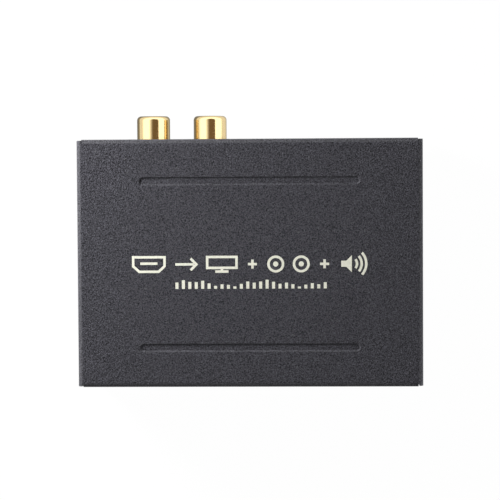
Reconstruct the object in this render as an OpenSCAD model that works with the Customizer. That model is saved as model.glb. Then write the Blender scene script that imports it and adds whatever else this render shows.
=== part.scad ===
// Small folded-steel converter box that splits the sound from a digital video link.
// Millimetres. X to the right, Y to the rear (the phono side), Z up, feet standing on z = 0.

/* [Case] */
// Width across the cover's side flanges
case_w = 86; // [84:0.5:104]
// Depth across the cover's front and rear lips
case_d = 61.8; // [60:0.1:76]
// Height of the case without its feet
case_h = 24; // [23:0.5:32]
// Thickness of the folded sheet
sheet_t = 1; // [0.8:0.05:1.2]
// Inside radius of every fold
bend_r = 0.3; // [0.2:0.05:0.5]
// Room between the cover's front and rear lips and the phono barrels under them
lip_room = 0.75; // [0.5:0.05:1.5]
// Room between the cover's lips and flanges and the tray behind them
cover_gap = 0.15; // [0.1:0.01:0.2]
// Width of the slit that frees the folds at each corner of the cover
corner_slit = 0.2; // [0.1:0.05:0.4]

/* [Pressed grooves] */
// Distance of each groove's round ends from the case's sides
groove_end_inset = 15.45; // [12:0.05:20]
// Width of each groove at the surface
groove_w = 2.1; // [1.6:0.1:2.6]
// Width of each groove's flat floor
groove_floor_w = 1.4; // [1:0.1:1.5]
// Depth of each groove
groove_depth = 0.35; // [0.25:0.05:0.5]
// Distance of the rear groove's centre from the rear edge
groove_rear_inset = 10.4; // [8:0.1:14]
// Distance of the front groove's centre from the front edge
groove_front_inset = 9.9; // [8:0.1:14]

/* [Tray] */
// Width of each upturned screw tab
tab_w = 10; // [8:0.5:12]
// Distance of the side screws from the case's front and rear
side_screw_inset = 11.9; // [10:0.1:14]
// Height of the side screws above the tray's underside
side_screw_h = 12; // [10:0.5:14]
// Radius of a screw's shank
screw_r = 1.45; // [1.2:0.05:1.5]
// Radius of a rubber foot
foot_r = 4.5; // [3.5:0.1:6]
// Height of a rubber foot
foot_h = 2; // [1.5:0.1:3]
// Distance of each foot's centre from the case's sides
foot_inset = 13; // [12:0.5:16]

/* [Board] */
// Room between the board's sides and the tray's walls
board_side_gap = 0.85; // [0.5:0.05:1.5]
// Room between the board's front and rear edges and the tray's panels
board_end_gap = 0.55; // [0.3:0.05:0.8]
// Thickness of the circuit board
board_t = 1.6; // [1.2:0.1:2]
// Share of the case's spare height that lies below the board
standoff_share = 0.625; // [0.5:0.005:0.75]
// Distance of the board's screws from its edges
board_screw_inset = 3.9; // [3.5:0.1:5]

/* [Phono jacks] */
// Share of the rear row's spare width to the left of the pair
phono_gap_share = 0.2044; // [0.1:0.0001:0.3]
// Distance between the two jacks
phono_pitch = 14.3; // [13:0.1:15]
// Height of the jacks' axes above the board
phono_axis_h = 8.3; // [8:0.1:9]
// Outside radius of a barrel
barrel_r = 4.15; // [4:0.01:4.3]
// Wall of a barrel
barrel_wall = 0.5; // [0.4:0.02:0.6]
// How far a barrel stands out of the rear panel
barrel_stand = 7; // [6:0.1:10]
// Radius of the hole for a plug's centre pin
phono_hole_r = 1.7; // [1.65:0.01:1.75]

/* [Optical output] */
// Share of the rear row's spare width between the phono jacks and the optical socket
optical_gap_share = 0.283; // [0.2:0.001:0.4]
// Width of the plug cavity
cavity_w = 8.2; // [8:0.05:8.6]
// Height of the plug cavity, with room for the open shutter
cavity_h = 8.4; // [8.2:0.05:8.8]
// Thickness of the shutter
shutter_t = 0.8; // [0.6:0.05:0.9]
// Radius of the shutter's hinge pin
hinge_pin_r = 0.45; // [0.35:0.01:0.5]

/* [Video sockets] */
// Share of the rear row's spare width between the optical socket and the video output
video_out_gap_share = 0.4057; // [0.3:0.0001:0.5]
// Share of the front row's spare width between the switch and the video input
video_in_gap_share = 0.5583; // [0.4:0.0001:0.65]
// Width of a socket's opening
mouth_w = 14; // [13.9:0.02:14.1]
// Height of a socket's opening
mouth_h = 4.55; // [4.5:0.01:4.6]
// Wall of a socket's shell
shell_t = 0.35; // [0.3:0.01:0.4]
// Length of a socket's shell
shell_len = 12; // [11:0.1:13]
// Thickness of a socket's tongue
tongue_t = 1.75; // [1.6:0.01:1.9]

/* [Power jack] */
// Share of the front row's spare width to the left of the power jack
power_gap_share = 0.0094; // [0.005:0.0001:0.05]
// Radius of the power jack's bore
power_bore_r = 3.15; // [3:0.01:3.2]
// Radius of the power jack's centre pin
power_pin_r = 1; // [0.95:0.01:1.05]
// Height of the power jack's axis above the board
power_axis_h = 6.5; // [6.4:0.1:7]

/* [Status lamp] */
// Share of the front row's spare width between the power jack and the lamp
lamp_gap_share = 0.1353; // [0.1:0.0001:0.2]
// Radius of the lamp's lens
lamp_r = 1.5; // [1.4:0.01:1.6]

/* [Slide switch] */
// Share of the front row's spare width between the lamp and the switch
switch_gap_share = 0.1579; // [0.1:0.0001:0.2]
// How far the knob slides each way from its middle place
knob_travel = 2; // [1.5:0.1:2.2]
// Width of the knob
knob_w = 3.6; // [3:0.1:4]
// Height of the knob
knob_h = 2; // [1.6:0.1:2.2]
// How far the knob stands out beyond the cover's front lip
knob_stand = 1; // [0.5:0.1:1.2]

/* [Hidden] */
$fn = 64;

// Cuts run past the faces that they open by this much
over = 1;
// Play between pieces that seat on or in each other
fit_gap = 0.05;
// Room round a socket or a jack where it comes through a panel
panel_play = 0.3;
// Room round a lead in the board
lead_play = 0.15;
// Leads end this far below the board
lead_tip = 0.8;

// Case
fold_r = bend_r + sheet_t;
tray_half_w = case_w / 2 - sheet_t - cover_gap;
panel_half = case_d / 2 - sheet_t - cover_gap;
// The panels' outer faces lie this far behind the lips' outer faces
lip_reach = sheet_t + cover_gap;
top_gap = 0.2;
panel_h = case_h - sheet_t - top_gap;
flange_gap = 0.2;
cover_leg = case_h - flange_gap;
lip_short = sheet_t + corner_slit;
// The side folds end just short of the front and rear faces
side_short = 0.25;
// The corner slits run in from the lips' outer faces as far as this
corner_slit_len = fold_r / 2;

// The whole object's box is centred on the origin, so the case lies a little to the front
case_y = (knob_stand - (barrel_stand - lip_reach)) / 2;

// Screws
screw_play = 0.1;
flat_head_r = 2.5;
side_screw_len = 5;
thread_share = 0.85;
pan_head_r = 2.75;
pan_head_h = 2;
pan_rim_h = 0.8;
drive_r = 1.6;
drive_deep = 0.6;
cross_w = 0.7;
tab_relief = 1;
tab_over = 3;
standoff_flats = 5;
shank_r = 2.1;
foot_round = 0.6;

// Sockets stand out of the panels, nearly to the lips' inner faces
socket_set_back = 0.1;
socket_stand = sheet_t - socket_set_back;
// Housings keep this far behind a panel's inner face
housing_gap = 0.15;
behind_panel = sheet_t + housing_gap;

// Phono jacks
barrel_round = 1;
barrel_seat = 6;
barrel_flange_step = 0.75;
barrel_flange_r = barrel_r + barrel_flange_step;
// The barrel is a little thicker where it comes through the panel
barrel_root_step = 0.2;
barrel_root_r = barrel_r + barrel_root_step;
barrel_root_stand = 0.6;
barrel_flange_t = 0.6;
phono_wall = 0.8;
hump_r = barrel_flange_r + phono_wall;
phono_deep = 11;
insulator_recess = 1.2;
phono_hole_deep = 3;
contact_wall = 0.45;
contact_slot = 0.4;
lug_w = 2.4;
lug_t = 0.6;
lug_inset = 0.4;
tail_w = 1.6;
tail_t = 0.4;

// Optical output
cavity_floor = 1.1;
optical_side = 0.8;
optical_roof = 0.9;
optical_w = cavity_w + 2 * optical_side;
optical_h = cavity_floor + cavity_h + optical_roof;
optical_round = 0.6;
guide_wall = 3;
guide_r = 1.6;
emitter_t = 3.8;
emitter_wall = 0.25;
plug_axis_rise = 3.6;
plug_axis_h = cavity_floor + plug_axis_rise;
shutter_play = 0.15;
hinge_h = cavity_floor + cavity_h - shutter_play - shutter_t / 2;
hinge_set_back = 1.3;
hinge_y = socket_stand - hinge_set_back;
shutter_len = hinge_h - cavity_floor - shutter_play;
// The cavity is deep enough for the open shutter, and behind it for the plug
cavity_deep = hinge_set_back + shutter_len + 2 * shutter_play;
knuckle_r = 0.85;
knuckle_share = 0.24;
spring_wire_r = 0.12;
spring_turns = 4;
spring_steps_per_turn = 14;
spring_play = 0.1;
wire_sides = 6;
// A direction that no part of a wire runs along
tube_up = [1, 0.3, 0.1];
peg_r = 0.8;
lens_play = 0.24;
// Thumb recess on the shutter's face, as shares of its width and height
recess_shares = [0.6, 0.3];

// Video sockets
mouth_cut_w = 1.95;
mouth_cut_h = 1.55;
shell_lift = 0.2;
flare = 0.3;
flare_t = 0.35;
shell_leg_w = 1.6;
tongue_w = 10.4;
tongue_recess = 1.8;
tongue_base = 4;
tongue_step_w = 0.6;
tongue_step_h = 0.5;
contact_pitch = 1;
contact_w = 0.35;
contact_t = 0.12;
contact_back = 0.6;
window_w = 2.2;
window_len = 5;
window_slot = 0.4;
window_inset = 3;

// Power jack
collar_w = 9;
collar_h = 11;
collar_round = 0.8;
// Room between the collar and the board screw's head behind it
collar_gap = 0.2;
jack_side = 0.95;
power_deep = 14;
power_bore_deep = 9.5;
power_wall = 2;
power_pin_recess = 1.2;
// The pin's root is thicker where it is pressed through the housing's wall
power_root_r = 1.3;
power_root_stand = 0.4;
power_head_r = 1.7;
leaf_t = 0.3;
leaf_w = 2.2;
leaf_lift = 0.3;

// Lamp
lamp_axis_h = 4.6;
lamp_flange_r = 1.9;
lamp_flange_t = 1;
lamp_holder_w = 4.6;
lamp_holder_t = 2.9;
lamp_holder_h = 7;
lamp_lead_pitch = 2.54;
lead_w = 0.5;
lamp_lead_back = 1.5;

// Switch
switch_w = 12;
switch_h = 5.6;
switch_deep = 4.5;
frame_t = 0.4;
frame_bend = 3 * fit_gap;
frame_leg = 4.4;
frame_back = 0.45;
switch_lift = 0.6;
carrier_w = 5.2;
carrier_h = 3;
carrier_t = 1.3;
slide_play = 0.15;
wiper_t = 0.25;
terminal_pitch = 2.5;
terminal_count = 4;
rib_count = 3;
rib_deep = 0.25;

// Chips: width, depth, height, leads per side, lead pitch
processor_size = [14, 14, 1.2];
processor_lead_count = 16;
processor_lead_pitch = 0.8;
audio_chip_size = [8.7, 3.9, 1.5];
audio_lead_count = 7;
audio_lead_pitch = 1.2;
chip_lift = 0.12;
chip_lead_t = 0.15;
chip_lead_reach = 1.1;
chip_edge_cut = 0.25;
lead_w_share = 0.42;
regulator_size = [6.5, 3.5, 1.7];
regulator_tab = [3, 1.6, 0.3];
inductor_size = [7, 7, 4];
inductor_corner = 1.4;
can_r = 3.15;
can_h = 5.8;
can_base = 6.6;
can_base_h = 0.8;
crystal_size = [11, 4.6, 3.4];
diode_size = [4.4, 2.6, 2.2];
array_size = [2.4, 1.2, 0.8];
passive_size = [1.6, 0.8, 0.7];
end_cap_share = 0.2;
passive_pitch = 3.4;
passive_row_pitch = 2.4;
passive_room = 1.9;
array_pitch = 4.8;
array_room = 2.4;

// Spare height is split by the board, so that the tallest socket keeps clear of the cover
tallest_h = phono_axis_h + hump_r;
standoff_h = standoff_share * (case_h - 2 * sheet_t - board_t - tallest_h);
board_top = foot_h + sheet_t + standoff_h + board_t;
board_screw_len = board_t + thread_share * standoff_h;
lip_drop = foot_h + case_h - board_top - phono_axis_h - barrel_root_r - lip_room;
groove_len = case_w - 2 * groove_end_inset;
side_screw_pitch = case_d - 2 * side_screw_inset;
collar_t = socket_stand + sheet_t + board_end_gap + board_screw_inset - pan_head_r - collar_gap;

// The board fills the tray, and each row of sockets stands between two board screws' heads
board_w = 2 * (tray_half_w - sheet_t - board_side_gap);
board_d = 2 * (panel_half - sheet_t - board_end_gap);
row_half = board_w / 2 - board_screw_inset - pan_head_r;
phono_w = phono_pitch + 2 * hump_r;
power_w = 2 * (power_bore_r + jack_side);
video_w = mouth_w + 2 * (shell_t + flare);
rear_spare = 2 * row_half - phono_w - optical_w - video_w;
phono_x = -row_half + phono_gap_share * rear_spare + phono_w / 2;
optical_x = phono_x + phono_w / 2 + optical_gap_share * rear_spare + optical_w / 2;
video_out_x = optical_x + optical_w / 2 + video_out_gap_share * rear_spare + video_w / 2;
front_spare = 2 * row_half - power_w - lamp_holder_w - switch_w - video_w;
power_x = -row_half + power_gap_share * front_spare + power_w / 2;
lamp_x = power_x + power_w / 2 + lamp_gap_share * front_spare + lamp_holder_w / 2;
switch_x = lamp_x + lamp_holder_w / 2 + switch_gap_share * front_spare + switch_w / 2;
video_in_x = switch_x + switch_w / 2 + video_in_gap_share * front_spare + video_w / 2;

// Places on the board, from its centre
function place(across_share, back_share) = [across_share * board_w, back_share * board_d];
processor_place = place(0.175, 0);
audio_places = [place(-0.17, 0.11), place(-0.17, -0.09)];
regulator_places = [place(-0.3, -0.14), place(-0.04, 0.17)];
inductor_place = place(-0.3, 0.05);
capacitor_places = [place(-0.41, -0.03), place(-0.41, 0.12), place(-0.16, -0.24)];
crystal_place = place(-0.02, -0.16);
diode_place = place(-0.41, -0.17);
resistor_column = place(0.37, 0);
// Small parts stand beside the chips that they serve
beside_processor = processor_size[0] / 2 + chip_lead_reach + passive_room;
beside_audio = audio_chip_size[0] / 2 + passive_room;
between_audio = (audio_places[0] + audio_places[1]) / 2;
behind_socket = panel_half - shell_len + socket_stand - array_room - array_size[1];
array_places = [for (s = [-1, 1]) each [
    [video_out_x + s * array_pitch / 2, behind_socket],
    [video_in_x + s * array_pitch / 2, -behind_socket]
]];
ceramic_places = concat(
    [for (s = [-1, 1], i = [-1, 0, 1])
        processor_place + [s * beside_processor, i * passive_pitch]],
    [for (s = [-1, 1], i = [0, 1])
        processor_place + [s * i * passive_pitch, s * beside_processor]],
    [for (i = [0, 1]) between_audio + [(i + 1 / 2) * passive_row_pitch, 0]]
);
resistor_places = concat(
    [for (i = [0 : 5]) resistor_column + [0, (i - 5 / 2) * passive_row_pitch]],
    [for (s = [-1, 1]) between_audio + [beside_audio, s * passive_pitch / 2]],
    [for (i = [0, 1]) between_audio - [(i + 1 / 2) * passive_row_pitch, 0]]
);

// Colours
coat = [0.28, 0.28, 0.29];
steel = [0.72, 0.73, 0.74];
gold = [0.92, 0.72, 0.38];
black = [0.06, 0.06, 0.065];
resin = [0.1, 0.1, 0.11];
laminate = [0.05, 0.28, 0.14];

// Moves a piece to the case's own centre
module at_case() translate([0, case_y, 0]) children();

// Socket frame: on the board's top face at the panel's outer face, y out of the case
module at_rear(x) translate([x, case_y + panel_half, board_top]) children();
module at_front(x) translate([x, case_y - panel_half, board_top]) rotate([0, 0, 180]) children();

// Board frame: on the board's top face, at a place measured from the board's centre
module on_board(spot) translate([spot[0], case_y + spot[1], board_top]) children();

// Extrusions of a flat drawing along y or x, centred
module along_y(len) rotate([90, 0, 0]) linear_extrude(len, center = true) children();
module along_x(len) rotate([90, 0, 90]) linear_extrude(len, center = true) children();

// Extrusion of an (x, z) drawing from y = from to y = to
module between_y(from, to)
    translate([0, to, 0]) rotate([90, 0, 0]) linear_extrude(to - from) children();

// Body of revolution about y, its drawing given as (radius, distance along y)
module turned_y() rotate([-90, 0, 0]) rotate_extrude() children();

module block(x, y, z) translate([x[0], y[0], z[0]]) cube([x[1] - x[0], y[1] - y[0], z[1] - z[0]]);

function pm(half) = [-half, half];

// A rectangle standing on y = 0 with its two lower corners rounded
module fold_blank(half_w, leg, r) {
    translate([-half_w, r]) square([2 * half_w, leg - r]);
    translate([-half_w + r, 0]) square([2 * (half_w - r), leg]);
    for (s = [-1, 1]) translate([s * (half_w - r), r]) circle(r);
}

// Section of a folded channel: a web on y = 0 and two legs that rise from it
module channel_section(half_w, leg, t, r) difference() {
    fold_blank(half_w, leg, r + t);
    translate([0, t]) fold_blank(half_w - t, leg, r);
}

// A rectangle standing on y = 0 with its two upper corners rounded
module arch_plate(half_w, h, r) translate([0, h]) mirror([0, 1]) fold_blank(half_w, h, r);

// CASE

// Pressed groove: a flat floor, sloping walls and round ends, sunk below the face at z = 0.
// The form runs from one depth to another, grown by g at every depth
groove_slope = (groove_w - groove_floor_w) / (2 * groove_depth);
module groove_form(y, g, from, to) {
    upper = groove_w / 2 - groove_slope * from + g;
    lower = groove_w / 2 - groove_slope * to + g;
    translate([0, y, from]) {
        along_x(groove_len - groove_w)
            polygon([[-upper, 0], [upper, 0], [lower, to - from], [-lower, to - from]]);
        for (s = [-1, 1]) translate([s * (groove_len - groove_w) / 2, 0, 0])
            cylinder(h = to - from, r1 = upper, r2 = lower);
    }
}
// The bump under each groove is this share of the sheet's thickness wider on each side
bump_share = 0.4;
groove_ys = [case_d / 2 - groove_rear_inset, -case_d / 2 + groove_front_inset];

// The side screws' axes, with x pointing out of the case
module at_side_screws() for (s = [-1, 1], t = [-1, 1])
    translate([s * case_w / 2, t * side_screw_pitch / 2, 0]) rotate([0, 0, s > 0 ? 0 : 180]) children();

module top_cover() color(coat) at_case() translate([0, 0, foot_h + case_h]) mirror([0, 0, 1])
    difference() {
        union() {
            difference() {
                along_y(case_d - 2 * side_short)
                    channel_section(case_w / 2, cover_leg, sheet_t, bend_r);
                for (s = [-1, 1], cut = [[fold_r, fold_r], [sheet_t, corner_slit_len]])
                    translate([0, s * (case_d - cut.y), 0])
                        cube([case_w - 2 * cut.x, case_d, 2 * case_h], center = true);
            }
            along_x(case_w - 2 * lip_short)
                channel_section(case_d / 2, lip_drop, sheet_t, bend_r);
            for (y = groove_ys) groove_form(y, (groove_slope + bump_share) * sheet_t,
                sheet_t / 2, sheet_t + groove_depth);
        }
        for (y = groove_ys) groove_form(y, 0, -sheet_t, groove_depth);
        translate([0, 0, case_h - side_screw_h]) at_side_screws() flat_head(screw_play);
    }

// Countersunk head and clearance for its shank, from the outside face at x = 0 inwards
module flat_head(play) rotate([0, -90, 0]) {
    cylinder(h = sheet_t, r1 = flat_head_r + play, r2 = screw_r + play);
    translate([0, 0, -over]) cylinder(h = over, r = flat_head_r + play);
    cylinder(h = lip_reach + sheet_t, r = screw_r + play);
}

module cover_screws() color(steel) at_case() translate([0, 0, foot_h + side_screw_h])
    at_side_screws() difference() {
        rotate([0, -90, 0]) {
            cylinder(h = sheet_t, r1 = flat_head_r, r2 = screw_r);
            cylinder(h = side_screw_len, r = screw_r);
        }
        cross_recess();
    }

// Cross recess cut into a head from the face at x = 0
module cross_recess() for (a = [0, 90]) rotate([a, 0, 0])
    cube([2 * drive_deep, 2 * drive_r, cross_w], center = true);

tab_ys = [-side_screw_pitch / 2, side_screw_pitch / 2];

module base_tray() color(coat) difference() {
    at_case() translate([0, 0, foot_h]) difference() {
        union() {
            difference() {
                along_x(2 * tray_half_w) channel_section(panel_half, panel_h, sheet_t, bend_r);
                for (s = [-1, 1], y = tab_ys) translate([s * tray_half_w, y, 0])
                    cube([2 * fold_r, tab_w + 2 * tab_relief, 2 * fold_r], center = true);
            }
            intersection() {
                along_y(case_d)
                    channel_section(tray_half_w, side_screw_h + tab_over, sheet_t, bend_r);
                for (s = [-1, 1], y = tab_ys) translate([s * tray_half_w, y, case_h / 2])
                    cube([2 * (fold_r + sheet_t), tab_w, case_h], center = true);
            }
        }
        for (s = [-1, 1], y = tab_ys) translate([s * tray_half_w, y, side_screw_h])
            rotate([0, 90, 0]) cylinder(h = 2 * fold_r, r = screw_r + fit_gap, center = true);
        for (p = board_screw_places()) translate([p[0], p[1], 0])
            cylinder(h = 2 * sheet_t + over, r = shank_r + fit_gap, center = true);
    }
    rear_cutouts();
    front_cutouts();
}

// Openings of the two panels, each from the same sizes as the piece that comes through it
module panel_hole() between_y(-sheet_t - over, over) children();
module rear_cutouts() {
    for (s = [-1, 1]) at_rear(phono_x + s * phono_pitch / 2) panel_hole()
        translate([0, phono_axis_h]) circle(barrel_root_r + panel_play);
    at_rear(optical_x) panel_hole() translate([0, -panel_play])
        arch_plate(optical_w / 2 + panel_play, optical_h + 2 * panel_play, optical_round);
    at_rear(video_out_x) panel_hole() socket_outline(shell_t + flare + panel_play);
}
module front_cutouts() {
    at_front(power_x) panel_hole() translate([0, -panel_play])
        arch_plate(collar_w / 2 + panel_play, collar_h + 2 * panel_play, collar_round);
    at_front(lamp_x) panel_hole() translate([0, lamp_axis_h]) circle(lamp_r + screw_play);
    at_front(switch_x) panel_hole() translate([0, switch_axis_h]) square(
        [knob_w + 2 * (knob_travel + panel_play), knob_h + 2 * panel_play], center = true);
    at_front(video_in_x) panel_hole() socket_outline(shell_t + flare + panel_play);
}

function board_screw_places() = [for (s = [-1, 1], t = [-1, 1])
    [s * (board_w / 2 - board_screw_inset), t * (board_d / 2 - board_screw_inset)]];

// Swaged six-sided standoffs, their shanks flush with the tray's underside
module board_standoffs() color(steel) at_case() translate([0, 0, foot_h])
    for (p = board_screw_places()) translate([p[0], p[1], 0]) difference() {
        union() {
            cylinder(h = sheet_t + standoff_h / 2, r = shank_r);
            translate([0, 0, sheet_t])
                cylinder(h = standoff_h, r = standoff_flats / sqrt(3), $fn = 6);
        }
        translate([0, 0, -over])
            cylinder(h = standoff_h + sheet_t + 2 * over, r = screw_r + fit_gap);
    }

module board_screws() color(steel) at_case() translate([0, 0, board_top])
    for (p = board_screw_places()) translate([p[0], p[1], 0]) difference() {
        union() {
            rotate_extrude() intersection() {
                union() {
                    square([pan_head_r, pan_rim_h]);
                    translate([0, pan_rim_h]) intersection() {
                        translate([0, pan_head_h - pan_rim_h - pan_crown_r]) circle(pan_crown_r);
                        square([pan_head_r, pan_head_h]);
                    }
                }
                square([pan_head_r, pan_head_h]);
            }
            translate([0, 0, -board_screw_len]) cylinder(h = board_screw_len, r = screw_r);
        }
        translate([0, 0, pan_head_h]) rotate([0, 90, 0]) cross_recess();
    }
// Radius of the crown that rises from a pan head's rim to its top
pan_crown_h = pan_head_h - pan_rim_h;
pan_crown_r = (pow(pan_head_r, 2) + pow(pan_crown_h, 2)) / (2 * pan_crown_h);

module rubber_feet() color(black) at_case() for (s = [-1, 1], t = [-1, 1])
    translate([s * (case_w / 2 - foot_inset), t * (case_d / 2 - foot_inset), 0])
        rotate_extrude() {
            translate([0, foot_round]) square([foot_r, foot_h - foot_round]);
            square([foot_r - foot_round, foot_h]);
            intersection() {
                translate([foot_r - foot_round, foot_round]) circle(foot_round);
                square([foot_r, foot_h]);
            }
        }

// BOARD

module circuit_board() color(laminate) difference() {
    at_case() translate([0, 0, board_top - board_t]) linear_extrude(board_t) difference() {
        square([board_w, board_d], center = true);
        for (p = board_screw_places()) translate(p) circle(screw_r + screw_play);
    }
    for (s = [-1, 1]) at_rear(phono_x + s * phono_pitch / 2) board_hole() phono_feet(lead_play);
    at_rear(optical_x) board_hole() {
        optical_pegs(lead_play);
        optical_feet(lead_play);
    }
    at_rear(video_out_x) board_hole() shell_feet(lead_play);
    at_front(video_in_x) board_hole() shell_feet(lead_play);
    at_front(power_x) board_hole() {
        power_pin_foot(lead_play);
        power_leaf_foot(lead_play);
    }
    at_front(lamp_x) board_hole() lamp_feet(lead_play);
    at_front(switch_x) board_hole() {
        switch_feet(lead_play);
        frame_feet(lead_play);
    }
}

module board_hole() translate([0, 0, -board_t - over]) linear_extrude(board_t + 2 * over) children();
// A lead that goes down through the board, from its plan, up to height h
lead_len = board_t + lead_tip;
module lead(h) translate([0, 0, -lead_len]) linear_extrude(h + lead_len) children();

// Plan of a rectangular lead, grown by g on every side
module foot_plan(x, y, w, d, g) translate([x, y]) square([w + 2 * g, d + 2 * g], center = true);

// Moulded chip body: a slab with its upper edges cut back
module chip_body(size) translate([0, 0, chip_lift]) {
    translate([0, 0, size[2] / 4]) cube([size[0], size[1], size[2] / 2], center = true);
    translate([0, 0, size[2] / 2])
        cube([size[0] - chip_edge_cut, size[1] - chip_edge_cut, size[2]], center = true);
}

// One row of gull-wing leads along x, leaving a chip's edge at y = 0 towards +y
module lead_row(count, pitch, height) {
    rise = chip_lift + height / 2;
    for (i = [0 : count - 1]) translate([(i - (count - 1) / 2) * pitch, 0, 0])
        along_x(pitch * lead_w_share) polygon([
            [0, rise], [chip_lead_reach / 3 + chip_lead_t, rise],
            [chip_lead_reach / 3 + chip_lead_t, chip_lead_t], [chip_lead_reach, chip_lead_t],
            [chip_lead_reach, 0], [chip_lead_reach / 3, 0],
            [chip_lead_reach / 3, rise - chip_lead_t], [0, rise - chip_lead_t]
        ]);
}

module processor_chip() color(resin) on_board(processor_place) chip_body(processor_size);
module processor_leads() color(steel) on_board(processor_place) for (a = [0 : 90 : 270])
    rotate([0, 0, a]) translate([0, processor_size[1] / 2, 0])
        lead_row(processor_lead_count, processor_lead_pitch, processor_size[2]);

module audio_chips() color(resin) for (p = audio_places) on_board(p)
    chip_body(audio_chip_size);
module audio_chip_leads() color(steel) for (p = audio_places, a = [0, 180]) on_board(p)
    rotate([0, 0, a]) translate([0, audio_chip_size[1] / 2, 0])
        lead_row(audio_lead_count, audio_lead_pitch, audio_chip_size[2]);

module voltage_regulators() color(resin) for (p = regulator_places) on_board(p)
    chip_body(regulator_size);
module regulator_tabs() color(steel) for (p = regulator_places) on_board(p) {
    block(pm(regulator_tab[0] / 2), [regulator_size[1] / 2, regulator_size[1] / 2 + regulator_tab[1]],
        [0, regulator_tab[2]]);
    for (i = [-1, 0, 1]) translate([i * regulator_size[0] / 3, -regulator_size[1] / 2, 0])
        block(pm(regulator_tab[0] / 8), [-regulator_tab[1], 0], [0, regulator_tab[2]]);
}

// Shielded inductor: a square block with cut corners
module power_inductor() color(resin) on_board(inductor_place) {
    half = inductor_size[0] / 2;
    cut = half - inductor_corner;
    linear_extrude(inductor_size[2]) polygon([
        [half, cut], [cut, half], [-cut, half], [-half, cut],
        [-half, -cut], [-cut, -half], [cut, -half], [half, -cut]
    ]);
}

// Upright capacitor cans with a drawn-in neck, on square plastic bases
module capacitor_cans() color(steel) for (p = capacitor_places) on_board(p)
    translate([0, 0, can_base_h]) rotate_extrude() {
        square([can_r - can_neck, can_h]);
        square([can_r, can_h / 8]);
        translate([0, can_h / 4]) square([can_r, can_h * 3 / 4]);
    }
can_neck = can_r / 12;
module capacitor_bases() color(black) for (p = capacitor_places) on_board(p)
    linear_extrude(can_base_h) difference() {
        square(can_base, center = true);
        for (s = [-1, 1]) translate([can_base / 2, s * can_base / 2]) rotate(45)
            square(can_base / 4, center = true);
    }

module crystal_can() color(steel) on_board(crystal_place) {
    end_r = crystal_size[1] / 2;
    linear_extrude(crystal_size[2]) {
        square([crystal_size[0] - 2 * end_r, 2 * end_r], center = true);
        for (s = [-1, 1]) translate([s * (crystal_size[0] / 2 - end_r), 0]) circle(end_r);
    }
    rim = end_r + chip_edge_cut;
    linear_extrude(chip_edge_cut) {
        square([crystal_size[0] - 2 * end_r, 2 * rim], center = true);
        for (s = [-1, 1]) translate([s * (crystal_size[0] / 2 - end_r), 0]) circle(rim);
    }
}

module power_diode() color(resin) on_board(diode_place) chip_body(diode_size);
module protection_arrays() color(resin) for (p = array_places) on_board(p)
    chip_body(array_size);

// Small two-ended parts lie along y, each body between two plated ends
end_cap_len = passive_size[0] * end_cap_share;
module passive_body() {
    body_len = passive_size[0] - 2 * end_cap_len;
    block(pm(passive_size[1] / 2), pm(body_len / 2), [0, passive_size[2]]);
}
module chip_capacitors() color("tan") for (p = ceramic_places) on_board(p) passive_body();
module chip_resistors() color(resin) for (p = resistor_places) on_board(p) passive_body();
module chip_end_caps() color(steel)
    for (p = concat(ceramic_places, resistor_places), a = [0, 180]) on_board(p)
        rotate([0, 0, a]) block(pm(passive_size[1] / 2),
            [passive_size[0] / 2 - end_cap_len, passive_size[0] / 2], [0, passive_size[2]]);

// PHONO JACKS

phono_front = -behind_panel;
barrel_bore_r = barrel_r - barrel_wall;
insulator_r = barrel_bore_r - fit_gap;
contact_r = phono_hole_r + contact_wall;
insulator_front = barrel_stand - insulator_recess;
contact_front = insulator_front - phono_hole_deep - fit_gap;

// Ground lug and centre contact's tail, in plan
lug_y = -barrel_seat + lug_inset + lug_t / 2;
tail_y = -barrel_seat - tail_t / 2 - lug_t;
module lug_foot(g) foot_plan(0, lug_y, lug_w, lug_t, g);
module tail_foot(g) foot_plan(0, tail_y, tail_w, tail_t, g);
module phono_feet(g) {
    lug_foot(g);
    tail_foot(g);
}

module phono_housing() color(black) at_rear(phono_x) difference() {
    between_y(phono_front - phono_deep, phono_front) {
        translate([-phono_pitch / 2 - hump_r, 0])
            square([phono_pitch + 2 * hump_r, phono_axis_h]);
        translate([-phono_pitch / 2, 0]) square([phono_pitch, phono_axis_h + hump_r / 2]);
        for (s = [-1, 1]) translate([s * phono_pitch / 2, phono_axis_h]) circle(hump_r);
    }
    for (s = [-1, 1]) translate([s * phono_pitch / 2, 0, 0]) {
        between_y(-barrel_seat - fit_gap, over) translate([0, phono_axis_h])
            circle(barrel_r + fit_gap);
        between_y(phono_front - barrel_flange_t - fit_gap, over) translate([0, phono_axis_h])
            circle(barrel_flange_r + fit_gap);
        translate([0, 0, -over]) linear_extrude(phono_axis_h) lug_foot(lead_play);
        block(pm(contact_r + fit_gap), [phono_front - phono_deep - over, -barrel_seat],
            [-over, phono_axis_h + contact_r + fit_gap]);
    }
}

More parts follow.
